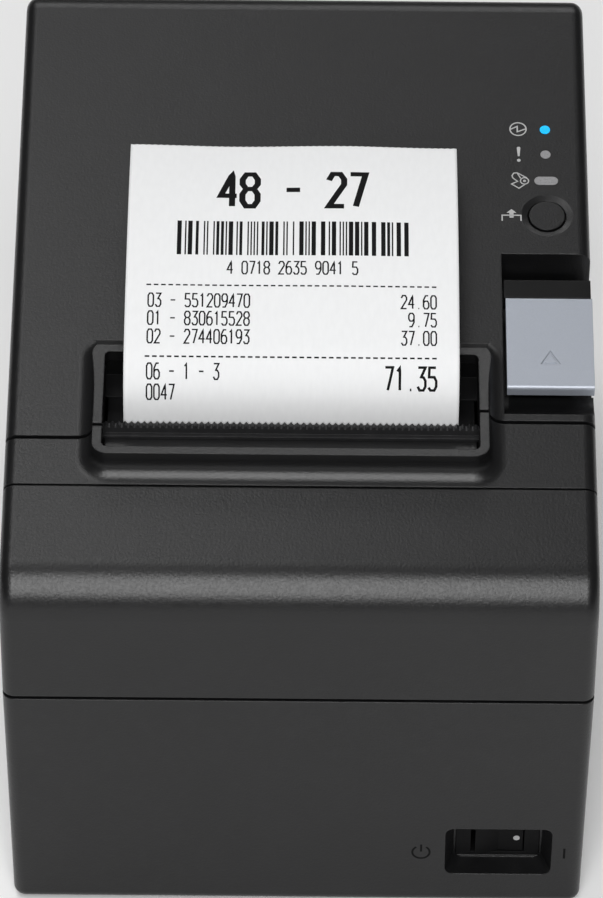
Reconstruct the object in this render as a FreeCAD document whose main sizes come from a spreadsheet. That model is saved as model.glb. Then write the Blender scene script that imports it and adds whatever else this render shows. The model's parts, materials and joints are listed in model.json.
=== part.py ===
import FreeCAD, Part
import os
import re
import Sketcher

# Desktop receipt printer for 80 mm paper, drop-in roll under a hinged cover.
# Frame: millimetres, X to the right, Y to the rear, Z up, origin under the middle of the feet.
# The sloped top has a frame of its own: "along" runs up the slope from the front top corner
# of the case, "out" is the height above the slope.

SIZES = {
    # Case
    "body_width": 140.0,
    "body_depth": 199.0,
    "foot_height": 1.5,
    "side_draft": 0.8,
    "end_draft": 0.5,
    "seam_height": 69.9,
    "seam_gap": 1.0,
    "corner_height": 104.1,
    "slope_angle": 14.0,
    "crest_back": 22.8,
    "shoulder_height": 92.0,
    "wall": 2.2,
    "front_round": 12.0,
    "crest_round": 7.0,
    "shoulder_round": 5.0,
    "edge_round": 3.0,
    "base_round": 2.5,
    "rib_width": 8.0,
    "rib_drop": 20.0,
    "rib_inset": 15.5,
    "foot_radius": 7.0,
    "foot_inset": 16.0,
    "hatch_width": 60.0,
    "hatch_depth": 120.0,
    "hatch_lap": 6.0,
    "hatch_sheet": 1.2,
    # Parting lines of the covers
    "groove_along": 30.05,
    "groove_gap": 0.6,
    "left_seam": 43.7,
    "right_seam": 49.2,
    "cover_gap": 1.0,
    "cover_height": 88.5,
    "cover_lift": 4.5,
    "cover_step": 8.0,
    # Raised paper mouth
    "mouth_x": -2.35,
    "mouth_width": 89.2,
    "mouth_front": 36.6,
    "mouth_rear": 68.0,
    "mouth_round": 1.5,
    "rim": 2.2,
    "rim_rise": 7.0,
    "rim_back": 1.0,
    "rim_round": 3.5,
    "rim_flare": 4.0,
    "ledge_thickness": 2.0,
    "funnel_wall": 2.0,
    "cheek_drop": 11.0,
    "guide_drop": 8.0,
    # Hinge of the roll cover
    "hinge_inset": 3.5,
    "hinge_side": 16.0,
    "hinge_lug": 14.0,
    "hinge_post": 3.0,
    "hinge_pin": 1.5,
    "hinge_barrel": 3.2,
    "hinge_reach": 12.0,
    "post_drop": 12.0,
    "running_gap": 0.05,
    "side_gap": 0.5,
    # Paper
    "paper_width": 79.5,
    "paper_thickness": 0.2,
    "paper_gap": 0.12,
    "roll_radius": 38.0,
    "roll_back": 73.5,
    "roll_gap": 0.3,
    "core_radius": 8.5,
    "core_bore": 6.5,
    "bend_radius": 16.0,
    "sweep_radius": 170.0,
    "receipt_lift": 8.0,
    "receipt_droop": 13.0,
    # Platen and gears
    "platen_inset": 54.0,
    "platen_drop": 19.1,
    "platen_radius": 6.0,
    "shaft_radius": 3.0,
    "bushing_radius": 4.2,
    "bushing_length": 3.0,
    "gear_module": 0.8,
    "gear_width": 5.0,
    "platen_teeth": 20,
    "idler_teeth": 30,
    "motor_teeth": 12,
    "stud_radius": 2.0,
    "stud_head": 3.5,
    "slot_gap": 0.3,
    "arm_gap": 0.4,
    "holder_rise": 5.5,
    "holder_front": 4.6,
    "holder_rear": 9.5,
    "holder_drop": 4.5,
    "holder_inset": 1.6,
    "roller_over": 1.0,
    "idler_angle": 235.0,
    "motor_angle": 200.0,
    "motor_side": 25.0,
    "motor_length": 20.0,
    "motor_shaft": 1.5,
    # Mechanism frame
    "frame_half": 45.0,
    "sheet": 1.5,
    "frame_ahead": 31.5,
    "frame_behind": 7.5,
    "frame_drop": 36.0,
    "frame_rise": 5.5,
    "flange": 11.0,
    "column_radius": 4.0,
    "column_front": 7.0,
    "column_rear": 8.0,
    "screw_radius": 3.0,
    "screw_height": 1.5,
    # Print head
    "head_thickness": 3.0,
    "head_drop": 14.0,
    "head_rise": 4.5,
    "head_gap": 0.3,
    "sink_thickness": 4.0,
    "sink_drop": 20.0,
    "sink_lower": 3.0,
    "spring_bow": 2.0,
    "spring_sheet": 0.5,
    "spring_height": 4.0,
    # Cutter
    "blade_rise": 7.0,
    "blade_thickness": 1.0,
    "blade_half": 41.0,
    "blade_length": 18.0,
    "blade_back": 2.0,
    "blade_gap": 0.2,
    "blade_vee": 1.6,
    "cutter_module": 1.0,
    "cutter_teeth": 12,
    "knob_teeth": 18,
    "knob_angle": 315.0,
    "cutter_x": -22.0,
    "cutter_ahead": 18.0,
    "wheel_rise": 0.5,
    "wheel_width": 3.0,
    "wheel_axle": 1.5,
    "cutter_plate": 1.6,
    "cutter_gap": 0.4,
    "cutter_reach": 40.5,
    "cutter_motor_radius": 12.0,
    "cutter_motor_height": 30.0,
    # Tear bar
    "tear_half": 44.6,
    "tear_gap": 1.0,
    "tear_rise": 17.7,
    "tear_foot": 11.0,
    "tear_tooth": 0.7,
    "tear_pitch": 1.5,
    "tear_thickness": 1.6,
    "tear_step": 1.2,
    "tear_sole": 0.9,
    # Cover-open lever
    "lever_width": 20.9,
    "lever_lip": 59.0,
    "lever_rear": 86.2,
    "lever_plate": 2.6,
    "lever_edge": 0.9,
    "lip_rise": 0.6,
    "lip_length": 5.5,
    "mark_along": 66.2,
    "mark_width": 4.8,
    "mark_height": 4.0,
    "mark_line": 0.5,
    "mark_depth": 0.25,
    "lever_pivot_depth": 8.0,
    "lever_pivot_back": 3.8,
    "lever_hub": 3.0,
    "lever_pin": 1.25,
    "pocket_back": 13.2,
    "pocket_depth": 13.0,
    "pocket_gap": 0.8,
    "scoop_radius": 10.2,
    "scoop_reach": 2.0,
    "pocket_lean": 1.8,
    "lug_inset": 1.0,
    "lever_tail": 6.6,
    "arm_inset": 0.6,
    "head_length": 5.3,
    "head_depth": 1.0,
    "head_side": 0.3,
    "scoop_lift": 4.0,
    # Operation panel
    "panel_inset": 10.4,
    "power_lamp_along": 137.8,
    "error_lamp_along": 130.0,
    "paper_lamp_along": 121.8,
    "feed_along": 111.2,
    "lamp_radius": 1.25,
    "lamp_proud": 0.15,
    "paper_lamp_length": 5.8,
    "feed_radius": 4.35,
    "feed_gap": 0.2,
    "dish_radius": 6.3,
    "dish_depth": 1.1,
    "button_gap": 0.35,
    "panel_drop": 7.0,
    "board": 1.6,
    "panel_post": 1.5,
    "panel_half": 7.3,
    "panel_rear": 8.0,
    "tact_size": 6.0,
    "tact_height": 2.2,
    "feed_sink": 0.1,
    "feed_flange": 0.9,
    # Power rocker
    "switch_inset": 21.2,
    "switch_z": 19.3,
    "recess_width": 26.2,
    "recess_height": 15.6,
    "recess_depth": 6.0,
    "recess_taper": 2.4,
    "recess_lean": 0.6,
    "recess_round": 2.2,
    "switch_width": 20.4,
    "switch_height": 13.4,
    "switch_depth": 16.0,
    "rocker_width": 11.8,
    "rocker_height": 10.6,
    "rocker_tilt": 8.0,
    "rocker_gap": 1.2,
    "rocker_pivot": 2.0,
    "rocker_pin": 0.8,
    "rocker_room": 7.0,
    "rocker_horn": 2.6,
    "rocker_saddle": 1.6,
    "rocker_tail": 2.5,
    # Roll tray
    "tray_radius": 42.0,
    "tray_rise": 68.0,
    "tray_wall": 2.0,
    "tray_half": 41.5,
    "tray_top": 84.0,
    "tray_leg": 20.0,
    "tray_start": 48.0,
    "tray_sweep": 117.0,
    "ramp_gap": 1.5,
    "ramp_short": 8.0,
    "sensor_depth": 6.0,
    "sensor_width": 10.0,
    "sensor_height": 8.0,
    "sensor_drop": 14.0,
    # Interface bay at the rear
    "bay_inset": 18.0,
    "bay_top": 30.0,
    "bay_depth": 7.0,
    "board_height": 8.5,
    "bay_sheet": 1.2,
    "board_reach": 47.5,
    "board_inset": 12.0,
    "standoff_side": 16.0,
    "standoff_radius": 3.0,
    "standoff_inset": 4.0,
    "socket_depth": 15.0,
    "port_depth": 11.0,
    "socket_proud": 0.8,
    "inlet_x": -38.0,
    "inlet_width": 15.0,
    "inlet_height": 14.0,
    "inlet_port_width": 10.5,
    "inlet_port_height": 9.0,
    "usb_x": -14.0,
    "usb_width": 12.2,
    "usb_height": 11.0,
    "usb_port_width": 8.5,
    "usb_port_height": 7.4,
    "network_x": 10.0,
    "network_width": 16.0,
    "network_height": 13.5,
    "network_port_width": 11.8,
    "network_port_height": 8.0,
    "drawer_x": 36.0,
    "drawer_width": 14.0,
    "drawer_height": 13.0,
    "drawer_port_width": 9.8,
    "drawer_port_height": 8.0,
}

# Places that follow from the sizes
PLACES = {
    "crest_reach": "body_depth - crest_back",
    "foot_x": "body_width / 2 - foot_inset",
    "foot_y": "body_depth / 2 - foot_inset",
    "rib_front": "rib_inset - body_depth / 2",
    "rib_middle": "body_depth / 10",
    "rib_rear": "body_depth / 2 - rib_inset",
    "hinge_x": "body_width / 2 - hinge_side",
    "hinge_y": "body_depth / 2 - hinge_inset",
    "hinge_z": "cover_height",
    "platen_y": "platen_inset - body_depth / 2",
    "platen_z": "corner_height + platen_inset * tan(slope_angle) - platen_drop",
    "roll_y": "platen_y + roll_back",
    "frame_front": "platen_y - frame_ahead",
    "frame_rear": "platen_y + frame_behind",
    "frame_low": "platen_z - frame_drop",
    "frame_high": "platen_z + frame_rise",
    "head_low": "platen_z - head_drop",
    "head_high": "platen_z + head_rise",
    "sink_low": "platen_z - sink_drop",
    "sink_high": "platen_z - sink_lower",
    "blade_height": "platen_z + blade_rise",
    "cutter_y": "platen_y - cutter_ahead",
    "cutter_front": "platen_y - cutter_reach",
    "wheel_low": "platen_z + wheel_rise",
    "tear_height": "platen_z + tear_rise",
    "tear_low": "platen_z + tear_foot",
    "ledge_height": "corner_height + mouth_front * sin(slope_angle)",
    "lever_left": "body_width / 2 - lever_width",
    "lever_pivot_along": "lever_rear + lever_pivot_back",
    "pocket_crest": "lever_rear + pocket_back",
    "panel_x": "body_width / 2 - panel_inset",
    "switch_x": "body_width / 2 - switch_inset",
    "bay_width": "body_width - 2 * bay_inset",
    "board_half": "body_width / 2 - board_inset",
    "board_front": "body_depth / 2 - board_reach",
    "standoff_x": "body_width / 2 - standoff_side",
}

doc = FreeCAD.newDocument("receipt_printer")
sheet = doc.addObject("Spreadsheet::Sheet", "dims")
for row, (alias, size) in enumerate(SIZES.items(), start=1):
    sheet.set("A%d" % row, str(size))
    sheet.setAlias("A%d" % row, alias)
doc.recompute()

WORD = re.compile(r"[a-z_]+")
X_AXIS = FreeCAD.Vector(1, 0, 0)
Z_AXIS = FreeCAD.Vector(0, 0, 1)
TURNS = {
    "x": FreeCAD.Rotation(FreeCAD.Vector(1, 1, 1), 120),
    "y": FreeCAD.Rotation(X_AXIS, -90),
    "z": FreeCAD.Rotation(),
}
NODES = []


def expression(text):
    """Turn the names of sizes and places into references to the sheet's cells."""
    def written(match):
        name = match.group()
        if name in PLACES:
            return "(%s)" % expression(PLACES[name])
        return "dims." + name if name in SIZES else name

    return WORD.sub(written, str(text))


def bind(obj, prop, text):
    obj.setExpression(prop, expression(text))


def number(text):
    return float(sheet.evalExpression(expression(text)))


def about(centre, width):
    return ("(%s) - (%s) / 2" % (centre, width), "(%s) + (%s) / 2" % (centre, width))


def slope_point(along, out):
    """Y and Z of a point given in the frame of the sloped top."""
    y = "-body_depth / 2 + (%s) * cos(slope_angle) - (%s) * sin(slope_angle)" % (along, out)
    z = "corner_height + (%s) * sin(slope_angle) + (%s) * cos(slope_angle)" % (along, out)
    return (y, z)


def place(obj, x, y, z, turn=None):
    if turn is not None:
        obj.Placement = FreeCAD.Placement(FreeCAD.Vector(), turn)
    for axis, text in (("x", x), ("y", y), ("z", z)):
        bind(obj, "Placement.Base." + axis, text)
    return obj


def tilt(obj, x, along, out):
    """Put an object in the frame of the sloped top."""
    y, z = slope_point(along, out)
    place(obj, x, y, z, FreeCAD.Rotation(X_AXIS, number("slope_angle")))
    bind(obj, "Placement.Rotation.Angle", "slope_angle")
    return obj


def block(name, spans):
    part = doc.addObject("Part::Box", name)
    for prop, (low, high) in zip(("Length", "Width", "Height"), spans):
        bind(part, prop, "(%s) - (%s)" % (high, low))
    return part


def box(name, x, y, z):
    return place(block(name, (x, y, z)), x[0], y[0], z[0])


def slope_box(name, x, along, out):
    return tilt(block(name, (x, along, out)), x[0], along[0], out[0])


def cylinder(name, radius, length):
    part = doc.addObject("Part::Cylinder", name)
    bind(part, "Radius", radius)
    bind(part, "Height", length)
    return part


def rod(name, axis, start, radius, length):
    return place(cylinder(name, radius, length), *start, TURNS[axis])


def peg(name, x, along, out, radius, length):
    """A cylinder square to the sloped top."""
    return tilt(cylinder(name, radius, length), x, along, out)


def fuse(name, *parts):
    joined = doc.addObject("Part::MultiFuse", name)
    joined.Shapes = list(parts)
    joined.Refine = True
    return joined


def cut(name, base, *tools):
    result = doc.addObject("Part::Cut", name)
    result.Base = base
    result.Tool = tools[0] if len(tools) == 1 else fuse(name + "_tools", *tools)
    result.Refine = True
    return result


def common(name, base, tool):
    result = doc.addObject("Part::Common", name)
    result.Base = base
    result.Tool = tool
    result.Refine = True
    return result


def group(name, parts):
    together = doc.addObject("Part::Compound", name)
    together.Links = list(parts)
    return together


def node(label, obj):
    obj.Label = label
    NODES.append(obj)
    return obj


def new_body(name):
    return doc.addObject("PartDesign::Body", name)


def origin_part(body, role):
    """A plane or axis of the body's own origin."""
    return next(f for f in body.Origin.OriginFeatures if f.Role == role)


def outline(body, plane, corners, offset):
    """A closed polygon on one of the body's own planes, every corner driven by the sheet."""
    sketch = body.newObject("Sketcher::SketchObject", body.Name + "_outline")
    sketch.AttachmentSupport = [(origin_part(body, plane + "_Plane"), "")]
    sketch.MapMode = "FlatFace"
    bind(sketch, "AttachmentOffset.Base.z", offset)
    points = [FreeCAD.Vector(number(a), number(b), 0) for a, b in corners]
    count = len(points)
    for i in range(count):
        sketch.addGeometry(Part.LineSegment(points[i], points[(i + 1) % count]))
    for i in range(count):
        sketch.addConstraint(Sketcher.Constraint("Coincident", i, 2, (i + 1) % count, 1))
    for i, corner in enumerate(corners):
        for kind, text in zip(("DistanceX", "DistanceY"), corner):
            index = sketch.addConstraint(Sketcher.Constraint(kind, -1, 1, i, 1, number(text)))
            bind(sketch, "Constraints[%d]" % index, text)
    return sketch


def pad(body, plane, corners, low, high):
    """Extrude a polygon between two heights along the plane's own axis (X, Y or Z)."""
    start = "-(%s)" % high if plane == "XZ" else low
    solid = body.newObject("PartDesign::Pad", body.Name + "_pad")
    solid.Profile = outline(body, plane, corners, start)
    bind(solid, "Length", "(%s) - (%s)" % (high, low))
    return solid


def prism(name, plane, corners, low, high):
    body = new_body(name)
    pad(body, plane, corners, low, high)
    return body


def rectangle(x, y):
    return [(x[0], y[0]), (x[1], y[0]), (x[1], y[1]), (x[0], y[1])]


def round_edges(body, radius, chosen):
    """Round the edges of the body's last feature for which chosen(edge) holds."""
    doc.recompute()
    base = body.Tip
    names = ["Edge%d" % (i + 1) for i, edge in enumerate(base.Shape.Edges) if chosen(edge)]
    fillet = body.newObject("PartDesign::Fillet", body.Name + "_round")
    fillet.Base = (base, names)
    bind(fillet, "Radius", radius)
    doc.recompute()
    return body


def runs_along(edge, axis):
    ends = edge.Vertexes
    if len(ends) < 2:
        return False
    run = ends[1].Point.sub(ends[0].Point)
    return run.cross(axis).Length < 0.02 * run.Length


# Case envelope

NEAR = 0.05
FAR = "200"
TAN_SLOPE = "tan(slope_angle)"
CREST = ("-body_depth / 2 + crest_reach", "corner_height + crest_reach * %s" % TAN_SLOPE)
TAN_REAR = "((%s) - shoulder_height) / (body_depth / 2 - (%s))" % (CREST[1], CREST[0])
SEAM_TOP = "seam_height + seam_gap / 2"
SEAM_LOW = "seam_height - seam_gap / 2"


def envelope(name, inset, low):
    """The upper case as a solid, drawn in by inset on every side but the bottom."""
    front = "-body_depth / 2 + %s" % inset
    rear = "body_depth / 2 - %s" % inset
    half = "body_width / 2 - %s" % inset
    slope_drop = "%s / cos(slope_angle)" % inset
    rear_drop = "%s * sqrt(1 + (%s)^2)" % (inset, TAN_REAR)
    crest_y = ("(shoulder_height - corner_height + body_depth / 2 * (%s) - %s + %s"
               " - body_depth / 2 * %s) / (%s + (%s))")
    crest_y = crest_y % (TAN_REAR, rear_drop, slope_drop, TAN_SLOPE, TAN_SLOPE, TAN_REAR)
    slope_at = "corner_height + ((%s) + body_depth / 2) * " + TAN_SLOPE + " - " + slope_drop
    bends = [
        ((front, slope_at % front), "front_round"),
        ((crest_y, slope_at % crest_y), "crest_round"),
        ((rear, "shoulder_height + %s * (%s) - %s" % (inset, TAN_REAR, rear_drop)), "shoulder_round"),
    ]
    body = new_body(name)
    corners = [(front, low)] + [corner for corner, radius in bends] + [(rear, low)]
    pad(body, "YZ", corners, "-(%s)" % half, half)
    for (y, z), radius in bends:
        y, z = number(y), number(z)
        round_edges(body, "%s - %s" % (radius, inset), lambda e: runs_along(e, X_AXIS)
                    and abs(e.CenterOfMass.y - y) < NEAR and abs(e.CenterOfMass.z - z) < NEAR)
    side, bottom = number(half), number(low)
    return round_edges(body, "edge_round - %s" % inset, lambda e: abs(e.CenterOfMass.z - bottom) > NEAR
                       and abs(abs(e.CenterOfMass.x) - side) < NEAR)


outer = envelope("upper_outer", "0", SEAM_TOP)
inner = envelope("upper_inner", "wall", SEAM_LOW)
shell = cut("upper_shell", outer, inner)

# Raised mouth: a rim that stands square to the slope, with a hollow flare round its foot

RIM_X = about("mouth_x", "mouth_width + 2 * rim")
RIM_ALONG = ("mouth_front - rim", "mouth_rear + rim")
RIM_TALL = "rim_rise + 5"
APRON = "rim_flare + 1"


def rim_solid():
    body = new_body("rim_solid")
    apron_x = about("mouth_x", "mouth_width + 2 * rim + 2 * (%s)" % APRON)
    apron_along = ("mouth_front - rim - (%s)" % APRON, "mouth_rear + rim + %s" % APRON)
    pad(body, "XY", rectangle(apron_x, apron_along), "-wall / 2", "0")
    pad(body, "XY", rectangle(RIM_X, RIM_ALONG), "-wall / 2", RIM_TALL)
    round_edges(body, "rim_round", lambda e: runs_along(e, Z_AXIS) and e.BoundBox.ZMax > 1)
    limits = [number(text) for text in RIM_X + RIM_ALONG]

    def at_foot(edge):
        c = edge.CenterOfMass
        inside = limits[0] - NEAR < c.x < limits[1] + NEAR and limits[2] - NEAR < c.y < limits[3] + NEAR
        return abs(c.z) < NEAR and edge.BoundBox.ZLength < NEAR and inside

    round_edges(body, "rim_flare", at_foot)
    return tilt(body, "0", "0", "0")


RIM_FALL = "(rim_rise - rim_back) / (mouth_rear - mouth_front + 2 * rim)"
ABOVE_RIM = [
    ("0", "rim_rise + (mouth_front - rim) * %s" % RIM_FALL),
    ("mouth_rear + rim", "rim_back"),
    ("mouth_rear + rim + 2 * rim_back", "0"),
    ("mouth_rear + rim + 40", "0"),
    ("mouth_rear + rim + 40", "60"),
    ("0", "60"),
]
above_rim = tilt(prism("above_rim", "YZ", ABOVE_RIM, "-100", "100"), "0", "0", "0")
rim = cut("mouth_rim", rim_solid(), above_rim)
MOUTH_X = about("mouth_x", "mouth_width")
mouth_hole = prism("mouth_hole", "XY", rectangle(MOUTH_X, ("mouth_front", "mouth_rear")), "-20", "30")
round_edges(mouth_hole, "mouth_round", lambda e: runs_along(e, Z_AXIS))
tilt(mouth_hole, "0", "0", "0")
top_shell = cut("top_shell", fuse("shell_and_rim", shell, rim), mouth_hole)

# Parting of the shell into cutter cover, upper case and roll cover

WIDE = ("-%s" % FAR, FAR)
front_zone = slope_box("front_zone", WIDE, ("-90", "groove_along - groove_gap / 2"), ("-100", "60"))
rear_zone = slope_box("rear_zone", WIDE, ("groove_along + groove_gap / 2", "300"), ("-200", "100"))
COVER_REAR = "hinge_z + cover_lift"


def cover_zone(name, seam, grow, x):
    """The space of the roll cover on one side of the mouth, from its seam back."""
    along = "(%s) + %s" % (seam, grow)
    low = "cover_height + %s" % grow
    out = "((%s) - corner_height - (%s) * sin(slope_angle)) / cos(slope_angle)" % (low, along)
    rear_low = "%s + 2 * (%s)" % (COVER_REAR, grow)
    step = "hinge_y - cover_step - 1.4 * (%s)" % grow
    corners = [
        slope_point(along, "60"),
        slope_point(along, out),
        (step, low),
        (step, rear_low),
        (FAR, rear_low),
        (FAR, "300"),
    ]
    return prism(name, "YZ", corners, *x)


def cover_space(name, grow):
    left = cover_zone(name + "_left", "left_seam", grow, ("-" + FAR, "mouth_x"))
    right = cover_zone(name + "_right", "right_seam", grow, ("mouth_x", FAR))
    return fuse(name, left, right)


cover_keep = cover_space("cover_keep", "cover_gap / 2")
cover_clear = cover_space("cover_clear", "-cover_gap / 2")
cutter_cover = node("cutter_cover", common("cutter_cover_shell", shell, front_zone))

# Levels and lines that several pieces share

SIDES = ("-1", "1")
PAPER_Y = "(platen_y - platen_radius - paper_gap - paper_thickness / 2)"
TEAR_REAR = "(%s - tear_gap)" % PAPER_Y
TEAR_FRONT = "(%s - tear_thickness)" % TEAR_REAR
FLOOR_TOP = "(foot_height + wall)"
FLOOR_MID = "(foot_height + wall / 2)"
HOLDER_TOP = "(blade_height + holder_rise)"
PLATEN = ("platen_y", "platen_z")


def polar(centre, radius, angle):
    return ("(%s) + (%s) * cos(%s)" % (centre[0], radius, angle),
            "(%s) + (%s) * sin(%s)" % (centre[1], radius, angle))


def mirrored(middle, low, high, side):
    """An X range to the right of the middle, or its mirror image on the left."""
    near, far = "%s + (%s) * (%s)" % (middle, side, low), "%s + (%s) * (%s)" % (middle, side, high)
    return (near, far) if side == "1" else (far, near)


def pitch(teeth, module="gear_module"):
    return "(%s * %s / 2)" % (teeth, module)


def slope_prism(name, corners, x):
    """A side outline given along and out of the slope, extruded over an X range."""
    return tilt(prism(name, "YZ", corners, *x), "0", "0", "0")


# Upper case: ring, strip before the roll cover, front half of the mouth, ledge and hinge posts

LUG_REACH = "(hinge_lug / 2 + side_gap)"


def upper_case():
    ring = cut("upper_ring", common("upper_rest", top_shell, rear_zone), cover_clear)
    ledge_y = (slope_point("mouth_front - rim / 2", "0")[0], TEAR_FRONT)
    ledge = box("mouth_ledge", about("mouth_x", "mouth_width - 2 * side_gap"), ledge_y,
                ("ledge_height - ledge_thickness", "ledge_height"))
    posts, notches, bores = [], [], []
    for side in SIDES:
        middle = "(%s) * hinge_x" % side
        for end in SIDES:
            posts.append(box("hinge_post", mirrored(middle, LUG_REACH, LUG_REACH + " + hinge_post", end),
                             ("hinge_y - hinge_barrel", "body_depth / 2 - wall / 2"),
                             ("hinge_z - post_drop", "hinge_z + hinge_barrel")))
        notches.append(box("hinge_notch", about(middle, "2 * " + LUG_REACH), ("hinge_y - hinge_reach", FAR),
                           ("hinge_z - hinge_barrel - cover_gap", FAR)))
        bores.append(rod("post_bore", "x", ("%s - hinge_lug" % middle, "hinge_y", "hinge_z"), "hinge_pin",
                         "2 * hinge_lug"))
    notched = cut("upper_notched", ring, *notches)
    return cut("upper_bored", fuse("upper_whole", notched, ledge, *posts), *bores)


PIN_LENGTH = "(2 * %s + 2 * hinge_post)" % LUG_REACH
node("upper_case", upper_case())
node("hinge_pins", group("pins", [
    rod("pin", "x", ("(%s) * hinge_x - %s / 2" % (side, PIN_LENGTH), "hinge_y", "hinge_z"), "hinge_pin",
        PIN_LENGTH) for side in SIDES]))

# Roll cover with lever pocket, panel, rear half of the mouth and hinge lugs

POCKET_X = "(lever_left - pocket_gap)"
SCOOP_ALONG = "(lever_lip + scoop_reach)"
SCOOP_FRONT = "(%s - sqrt(scoop_radius^2 - scoop_lift^2))" % SCOOP_ALONG
SCOOP_LOW = "(scoop_lift - scoop_radius - wall)"
POCKET_LOW = "(-pocket_depth - wall)"
LEVER_PIVOT = slope_point("lever_pivot_along", "-lever_pivot_depth")
LUG_X = ("body_width / 2 - lug_inset - wall", "body_width / 2 - lug_inset")


def lever_pocket():
    """Hollow under the lever, open to the right, with a finger scoop before the lip."""
    hollow = slope_prism("pocket_hollow", [
        ("pocket_crest + pocket_lean / 3", "2 * wall"),
        ("pocket_crest", "0"),
        ("pocket_crest - pocket_lean", "-pocket_depth"),
        (SCOOP_ALONG, "-pocket_depth"),
        (SCOOP_ALONG, "2 * wall"),
    ], (POCKET_X, "body_width"))
    scoop = rod("pocket_scoop", "x", (POCKET_X, *slope_point(SCOOP_ALONG, "scoop_lift")), "scoop_radius",
                "body_width")
    return fuse("pocket", hollow, scoop)


def pocket_walls():
    """Floor and walls of the lever pocket, following the scoop."""
    mass = slope_prism("pocket_mass", [
        (SCOOP_FRONT + " - wall / 2", "wall"),
        (SCOOP_FRONT + " - wall / 2", "-1.4 * wall"),
        ("lever_lip - 1.3 * wall", SCOOP_LOW),
        (SCOOP_ALONG + " - wall", SCOOP_LOW),
        (SCOOP_ALONG + " - wall", POCKET_LOW),
        ("pocket_crest + wall", POCKET_LOW),
        ("pocket_crest + wall", "wall"),
    ], (POCKET_X + " - wall", "body_width / 2"))
    return common("pocket_shell", outer, mass)


def mouth_cheeks():
    """Side walls of the mouth under the rim of the cover."""
    return [slope_box("mouth_cheek", mirrored("mouth_x", "mouth_width / 2", "mouth_width / 2 + rim", side),
                      ("right_seam + cover_gap / 2", "mouth_rear + rim"), ("-cheek_drop", "-wall / 2"))
            for side in SIDES]


def mouth_guide():
    """Rear wall of the mouth under the cover's skin, and its foot on the platen holder."""
    rear = "mouth_rear + funnel_wall"
    return prism("guide_wall", "YZ", [
        slope_point("mouth_rear", "-wall"),
        slope_point("mouth_rear", "-guide_drop"),
        ("platen_y + holder_rear - funnel_wall", HOLDER_TOP),
        ("platen_y + holder_rear", HOLDER_TOP),
        slope_point(rear, "-guide_drop - funnel_wall"),
        slope_point(rear, "-wall"),
    ], *MOUTH_X)


def hinge_lug(side):
    x = about("(%s) * hinge_x" % side, "hinge_lug")
    barrel = rod("lug_barrel", "x", (x[0], "hinge_y", "hinge_z"), "hinge_barrel", "hinge_lug")
    arm = prism("lug_arm", "YZ", [
        ("hinge_y - hinge_barrel", "hinge_z"),
        ("hinge_y + hinge_barrel / 3", "hinge_z + 0.8 * hinge_barrel"),
        ("hinge_y - hinge_barrel / 2", "hinge_z + hinge_reach"),
        ("hinge_y - 3 * hinge_barrel", "hinge_z + hinge_reach"),
    ], *x)
    return fuse("lug", barrel, arm)


def pill(name, radius, low, high):
    """A round-ended bar across the panel at the paper lamp, square to the slope."""
    x = about("panel_x", "paper_lamp_length - 2 * lamp_radius")
    bar = slope_box(name + "_bar", x, about("paper_lamp_along", "2 * (%s)" % radius), (low, high))
    ends = [peg(name + "_end", edge, "paper_lamp_along", low, radius, "(%s) - (%s)" % (high, low))
            for edge in x]
    return fuse(name, bar, *ends)


def panel_holes():
    dish = doc.addObject("Part::Sphere", "feed_dish")
    radius = "((dish_radius^2 + dish_depth^2) / (2 * dish_depth))"
    bind(dish, "Radius", radius)
    tilt(dish, "panel_x", "feed_along", "%s - dish_depth" % radius)
    holes = [peg("panel_hole", "panel_x", along, "-panel_drop", size, "2 * panel_drop") for along, size in (
        ("feed_along", "feed_radius + button_gap"),
        ("power_lamp_along", "lamp_radius"),
        ("error_lamp_along", "lamp_radius"))]
    return [dish, pill("paper_hole", "lamp_radius", "-panel_drop", "panel_drop"), *holes]


def roll_cover():
    walls = common("cover_walls", fuse("cover_mass", top_shell, pocket_walls()), cover_keep)
    posts = [peg("panel_post", "panel_x - 4 * panel_post", along, "-panel_drop", "panel_post",
                 "panel_drop - wall / 2") for along in ("feed_along - 4 * panel_post",
                                                        "power_lamp_along + 3 * panel_post")]
    whole = fuse("cover_whole", walls, *mouth_cheeks(), hinge_lug("-1"), hinge_lug("1"), *posts)
    bore = rod("lug_bore", "x", ("-body_width", "hinge_y", "hinge_z"), "hinge_pin + running_gap",
               "2 * body_width")
    hollowed = cut("cover_hollowed", whole, lever_pocket(), bore, *panel_holes())
    lug = slope_box("pin_lug", LUG_X, about("lever_pivot_along", "2 * lever_hub"),
                    ("-pocket_depth - wall / 2", "lever_hub - lever_pivot_depth"))
    pin_bore = rod("pin_bore", "x", (POCKET_X + " - wall", *LEVER_PIVOT), "lever_pin", "body_width")
    return cut("cover_bored", fuse("cover_lugged", hollowed, lug), pin_bore)


node("roll_cover", roll_cover())
node("mouth_guide", mouth_guide())

# Lower case: drafted tub with floor hatch, switch recess, interface bay and inner columns

COLUMN_X = "(frame_half + sheet + flange / 2)"
COLUMNS = [(side, y) for side in SIDES for y in ("frame_front + column_front", "frame_rear - column_rear")]
RIBS = [(side, y) for side in SIDES for y in ("rib_front", "rib_middle", "rib_rear")]
BAY_FRONT = "(body_depth / 2 - bay_depth)"
BOARD_REAR = "(%s - bay_sheet - side_gap)" % BAY_FRONT
STANDOFFS = [(side, y) for side in SIDES
             for y in ("board_front + standoff_inset", BOARD_REAR + " - standoff_inset")]
SWITCH_Y = "(recess_depth - body_depth / 2)"


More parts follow.
